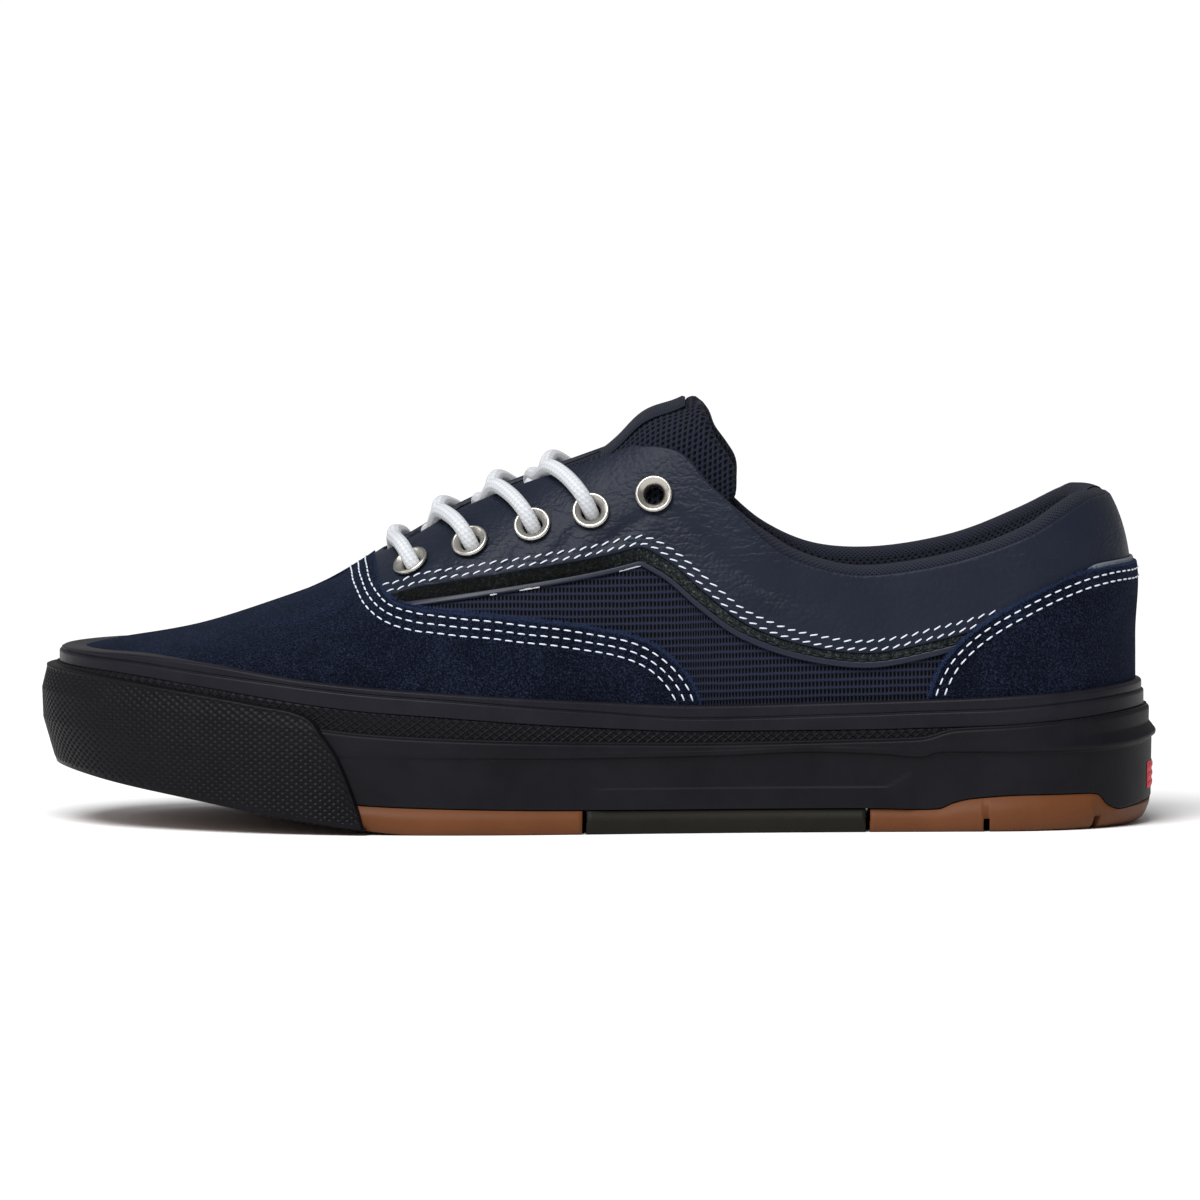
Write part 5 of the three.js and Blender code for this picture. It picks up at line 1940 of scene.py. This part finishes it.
class SHOE_OT_eyelets(bpy.types.Operator):
    """Make the satin eyelets"""

    bl_idname = "shoe.eyelets"
    bl_label = "Eyelets"

    def execute(self, context):
        metal = metal_finish()
        profile = self.profile()
        angle = np.linspace(0, 2 * np.pi, 49)
        for name, sign in SIDES.items():
            for i, spot in enumerate(EYELETS):
                centre, normal, across, upward = eyelet_frame(spot, sign)
                ring = np.cos(angle)[:, None] * across + np.sin(angle)[:, None] * upward
                radius, height = profile[:, 0], profile[:, 1] + eyelet_seat()
                points = centre + ring * radius[:, None, None] + normal * height[:, None, None]
                piece = surface(f"eyelet_{name}_ring_{i + 1}", points, metal, facing=0, closed=True)
                dress(piece, "metal", f"eyelet_{name}_{i + 1}")
        return {"FINISHED"}

    def profile(self):
        """Radius and height round an eyelet's section: a rolled rim, a rounded mouth, the
        barrel, a curled lower end, and back up under the rim."""
        barrel = trim.hole + trim.metal
        outer = barrel + trim.flange
        turn = np.linspace(-0.5 * np.pi, 0.5 * np.pi, 9)[:, None]
        roll = trim.rise / 2
        rim = [outer - roll, roll] + roll * np.hstack([np.cos(turn), np.sin(turn)])
        crown = np.array([
            [outer - 0.00085, trim.rise - 0.00008],
            [outer - 0.00115, trim.rise - 0.00032],
            [outer - 0.0015, trim.rise - 0.00055],
            [barrel + 0.00035, trim.rise - 0.0007],
            [barrel, trim.rise - 0.00095],
            [trim.hole + 0.0002, trim.rise - 0.0014],
            [trim.hole, trim.rise - 0.0021],
        ])
        depth = eyelet_seat() + form.wall
        tail = np.array([
            [trim.hole, -depth],
            [trim.hole + 0.0003, -depth - 0.0006],
            [barrel + 0.0009, -depth - 0.0007],
            [barrel + 0.0013, -depth - 0.0003],
            [barrel + 0.0008, -depth],
            [barrel, -depth + 0.0003],
            [barrel, -0.0001],
        ])
        ring = np.concatenate([rim, crown, tail])
        return np.concatenate([ring, ring[:1]])


LACE_STEP = 0.0006
LACE_TALL = 1.04  # its section's height against its width


def lace_tube(name, route, radius, material):
    """A cord along a smooth curve through points, with rounded ends. Its UV is the share
    of the way round and the distance along it."""
    path = curve(route, 12)
    run = run_along(path)
    count = int(run[-1] / LACE_STEP)
    even = np.linspace(0, run[-1], count)
    path = at_run(even, run, path)
    for _ in range(4):
        path[1:-1] = (path[:-2] + 2 * path[1:-1] + path[2:]) / 4
    onward = unit(np.gradient(path, axis=0))
    side = unit(np.cross(onward, [0.0, 0.0, 1.0]))
    normal = np.cross(side, onward)
    angle = np.linspace(0, 2 * np.pi, 21)[:, None, None]
    end = np.minimum(np.arange(count), np.arange(count)[::-1]) * LACE_STEP
    swell = np.sqrt(np.clip(1 - (1 - np.clip(end / radius, 0, 1)) ** 2, 0, 1)) + 1e-3
    size = (radius * swell)[:, None]
    points = path + np.cos(angle) * side * size + np.sin(angle) * normal * (size * LACE_TALL)
    uv = np.stack(np.broadcast_arrays(angle[..., 0] / (2 * np.pi), even[None, :]), -1)
    return surface(name, points, material, facing=0, uv=uv, closed=True)


# How far towards the eyelet below each strand slants before it dips, from the toe up.
LACE_REACH = (1.0, 0.74, 0.89, 1.03)


class LaceWay:
    """Places that the lace passes."""

    def __init__(self):
        self.radius = trim.lace
        self.seat = eyelet_seat()
        self.under = -(form.wall + self.radius * 0.9)

    def hole(self, i, side, out):
        """On the axis of an eyelet, some way out."""
        centre, normal = eyelet_frame(EYELETS[i], side)[:2]
        return centre + normal * out

    def stay(self, i, side, ahead, to_edge, out):
        """Over or under the eyestay: ahead of an eyelet by a share of the length, and
        between the eyelet (0) and the throat's edge (1) or beyond it."""
        at = EYELETS[i][0]
        centre = eyelet_frame(EYELETS[i], side)[0]
        start = abs(centre[1] - middle_at(at))
        edge = form.ball_width * read(THROAT, "half", at - ahead)
        half = start + (edge - start) * to_edge
        around = around_of(at - ahead, side)
        return skin(around, up_beside(around, half), np.asarray(out))

    def tongue(self, along, across, out):
        """Over the tongue, some share of the way from its middle to the throat's edge."""
        half = form.ball_width * read(THROAT, "half", along) * abs(across)
        around = around_of(along, across)
        up = up_beside(around, half, form.tongue_sink)
        return skin(around, up, np.asarray(out - form.wall), form.tongue_sink)


class SHOE_OT_laces(bpy.types.Operator):
    """Make the laces"""

    bl_idname = "shoe.laces"
    bl_label = "Laces"

    def execute(self, context):
        way = LaceWay()
        cord = lace_finish()
        bar = lace_tube("lace_front", self.bar(way), way.radius, cord)
        dress(bar, "lace", "lace_bar")
        for i in (1, 2, 3):
            for name, side in SIDES.items():
                route = self.strand(way, i, side)
                piece = lace_tube(f"lace_{name}_{i}", route, way.radius, cord)
                nodes = [f"lace_cross_{i}"] if side < 0 else []
                dress(piece, "lace", *nodes)
        return {"FINISHED"}

    def bar(self, way):
        """Across the front of the throat, from one front eyelet down into the other."""
        radius, seat = way.radius, way.seat
        halves = []
        for side in (-1, 1):
            halves.append([
                way.hole(0, side, way.under - 0.0015),
                way.hole(0, side, -0.0006),
                way.stay(0, side, 0.004, 0.35, seat + trim.rise + radius * 0.5),
                way.stay(0, side, 0.0105, 0.8, seat + radius * 0.95),
                way.stay(0, side, 0.0145, 1.15, seat + radius * 0.5),
            ])
        at = EYELETS[0][0] - 0.017
        middle = [way.tongue(at, 1e-4, radius + 0.0006)]
        return np.array([*halves[0], *middle, *halves[1][::-1]])

    def strand(self, way, i, side):
        """From under an eyelet up through it, slanting over the edge and the tongue,
        under the far edge and on to the eyelet below on that side."""
        radius, seat = way.radius, way.seat
        step = (EYELETS[i][0] - EYELETS[i - 1][0]) * LACE_REACH[i]
        at = EYELETS[i][0]
        on_top = radius * (1.9 if side < 0 else 0.85)
        low = way.under
        return np.array([
            way.hole(i, side, low - 0.0015),
            way.hole(i, side, -0.0006),
            way.stay(i, side, 0.13 * step, 0.22, seat + trim.rise + radius * 0.45),
            way.stay(i, side, 0.36 * step, 0.6, seat + radius * 1.1),
            way.stay(i, side, 0.62 * step, 1.0, seat + radius * 0.9),
            way.tongue(at - 0.83 * step, 0.6 * side, on_top + 0.0006),
            way.tongue(at - 0.96 * step, 0.1 * side, on_top + 0.0002),
            way.tongue(at - 1.02 * step, -0.5 * side, 0.0002 + radius),
            way.stay(i - 1, -side, at - 1.03 * step - EYELETS[i - 1][0], 1.0, low + 0.0006),
            way.stay(i - 1, -side, 0.02 * step, 0.5, low - 0.0004),
            way.hole(i - 1, -side, low - 0.002),
        ])


class SHOE_OT_stage(bpy.types.Operator):
    """Make the floor, the lights and the camera"""

    bl_idname = "shoe.stage"
    bl_label = "Floor, light and camera"

    def execute(self, context):
        scene = context.scene
        scene.view_settings.view_transform = "Standard"
        self.floor()
        world = scene.world or bpy.data.worlds.new("studio")
        scene.world = world
        world.use_nodes = True
        sky = world.node_tree.nodes["Background"]
        sky.inputs["Color"].default_value = (1, 1, 1, 1)
        sky.inputs["Strength"].default_value = stage.sky
        self.overhead()
        self.light("key", (-0.25, -1.0, 0.9), (1.0, 0.35), stage.key)
        self.light("fill", (-1.2, -0.35, 0.6), (0.4, 0.6), stage.fill)
        self.camera()
        return {"FINISHED"}

    def floor(self):
        mesh = bpy.data.meshes.new("floor")
        size = 30.0
        corners = [(-size, -size, 0), (size, -size, 0), (size, size, 0), (-size, size, 0)]
        mesh.from_pydata(corners, [], [(0, 1, 2, 3)])
        finish = Finish("floor_paint", colours.floor, 0.7)
        mesh.materials.append(finish.material)
        floor = bpy.data.objects.new("floor", mesh)
        bpy.context.collection.objects.link(floor)

    def overhead(self):
        """A wide light high above, a little towards the camera and the toe."""
        lamp = bpy.data.lights.new("overhead", "SUN")
        lamp.energy = stage.sun
        lamp.angle = math.radians(38)
        item = bpy.data.objects.new("overhead", lamp)
        item.rotation_euler = (math.radians(34), math.radians(-15), 0)
        bpy.context.collection.objects.link(item)

    def light(self, name, place, size, power):
        lamp = bpy.data.lights.new(name, "AREA")
        lamp.shape = "RECTANGLE"
        lamp.size, lamp.size_y = size
        lamp.energy = power
        item = bpy.data.objects.new(name, lamp)
        item.location = place
        aim = np.array([0, 0, 0.04]) - np.array(place)
        item.rotation_euler = Vector(aim).to_track_quat("-Z", "Y").to_euler()
        bpy.context.collection.objects.link(item)

    def camera(self):
        lens = bpy.data.cameras.new("camera")
        lens.sensor_width = 36
        lens.lens = 36 * stage.distance / stage.view_width
        lens.clip_end = 100
        item = bpy.data.objects.new("camera", lens)
        rise = math.radians(stage.elevation)
        back = Vector((0, -math.cos(rise), math.sin(rise)))
        item.location = Vector((stage.aim_x, 0, stage.aim_z)) + back * stage.distance
        item.rotation_euler = (-back).to_track_quat("-Z", "Y").to_euler()
        bpy.context.collection.objects.link(item)
        bpy.context.scene.camera = item


PIECES = (
    SHOE_OT_cloth,
    SHOE_OT_vamp,
    SHOE_OT_counter,
    SHOE_OT_leather,
    SHOE_OT_stitching,
    SHOE_OT_fuzz,
    SHOE_OT_tongue,
    SHOE_OT_insole,
    SHOE_OT_midsole,
    SHOE_OT_bumper,
    SHOE_OT_outsole,
    SHOE_OT_heel_patch,
    SHOE_OT_eyelets,
    SHOE_OT_laces,
    SHOE_OT_stage,
)
GROUPS = {
    "shoe_form": ShoeForm,
    "shoe_sole": ShoeSole,
    "shoe_trim": ShoeTrim,
    "shoe_colours": ShoeColours,
    "shoe_stage": ShoeStage,
}


class SHOE_PT_panel(bpy.types.Panel):
    """Lists the shoe's pieces and sizes"""

    bl_idname = "SHOE_PT_panel"
    bl_label = "Skateboarding shoe"
    bl_space_type = "VIEW_3D"
    bl_region_type = "UI"
    bl_category = "Shoe"

    def draw(self, context):
        for piece in PIECES:
            self.layout.operator(piece.bl_idname)
        for group, kind in GROUPS.items():
            box = self.layout.box()
            for prop in kind.__annotations__:
                box.prop(getattr(context.scene, group), prop)


CLASSES = (*GROUPS.values(), *PIECES, SHOE_PT_panel)


def register():
    for kind in CLASSES:
        bpy.utils.register_class(kind)
    for name, kind in GROUPS.items():
        setattr(bpy.types.Scene, name, bpy.props.PointerProperty(type=kind))


def unregister():
    for name in GROUPS:
        delattr(bpy.types.Scene, name)
    for kind in reversed(CLASSES):
        bpy.utils.unregister_class(kind)


def main():
    register()
    for piece in PIECES:
        group, name = piece.bl_idname.split(".")
        getattr(getattr(bpy.ops, group), name)()
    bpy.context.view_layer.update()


if __name__ == "__main__":
    main()
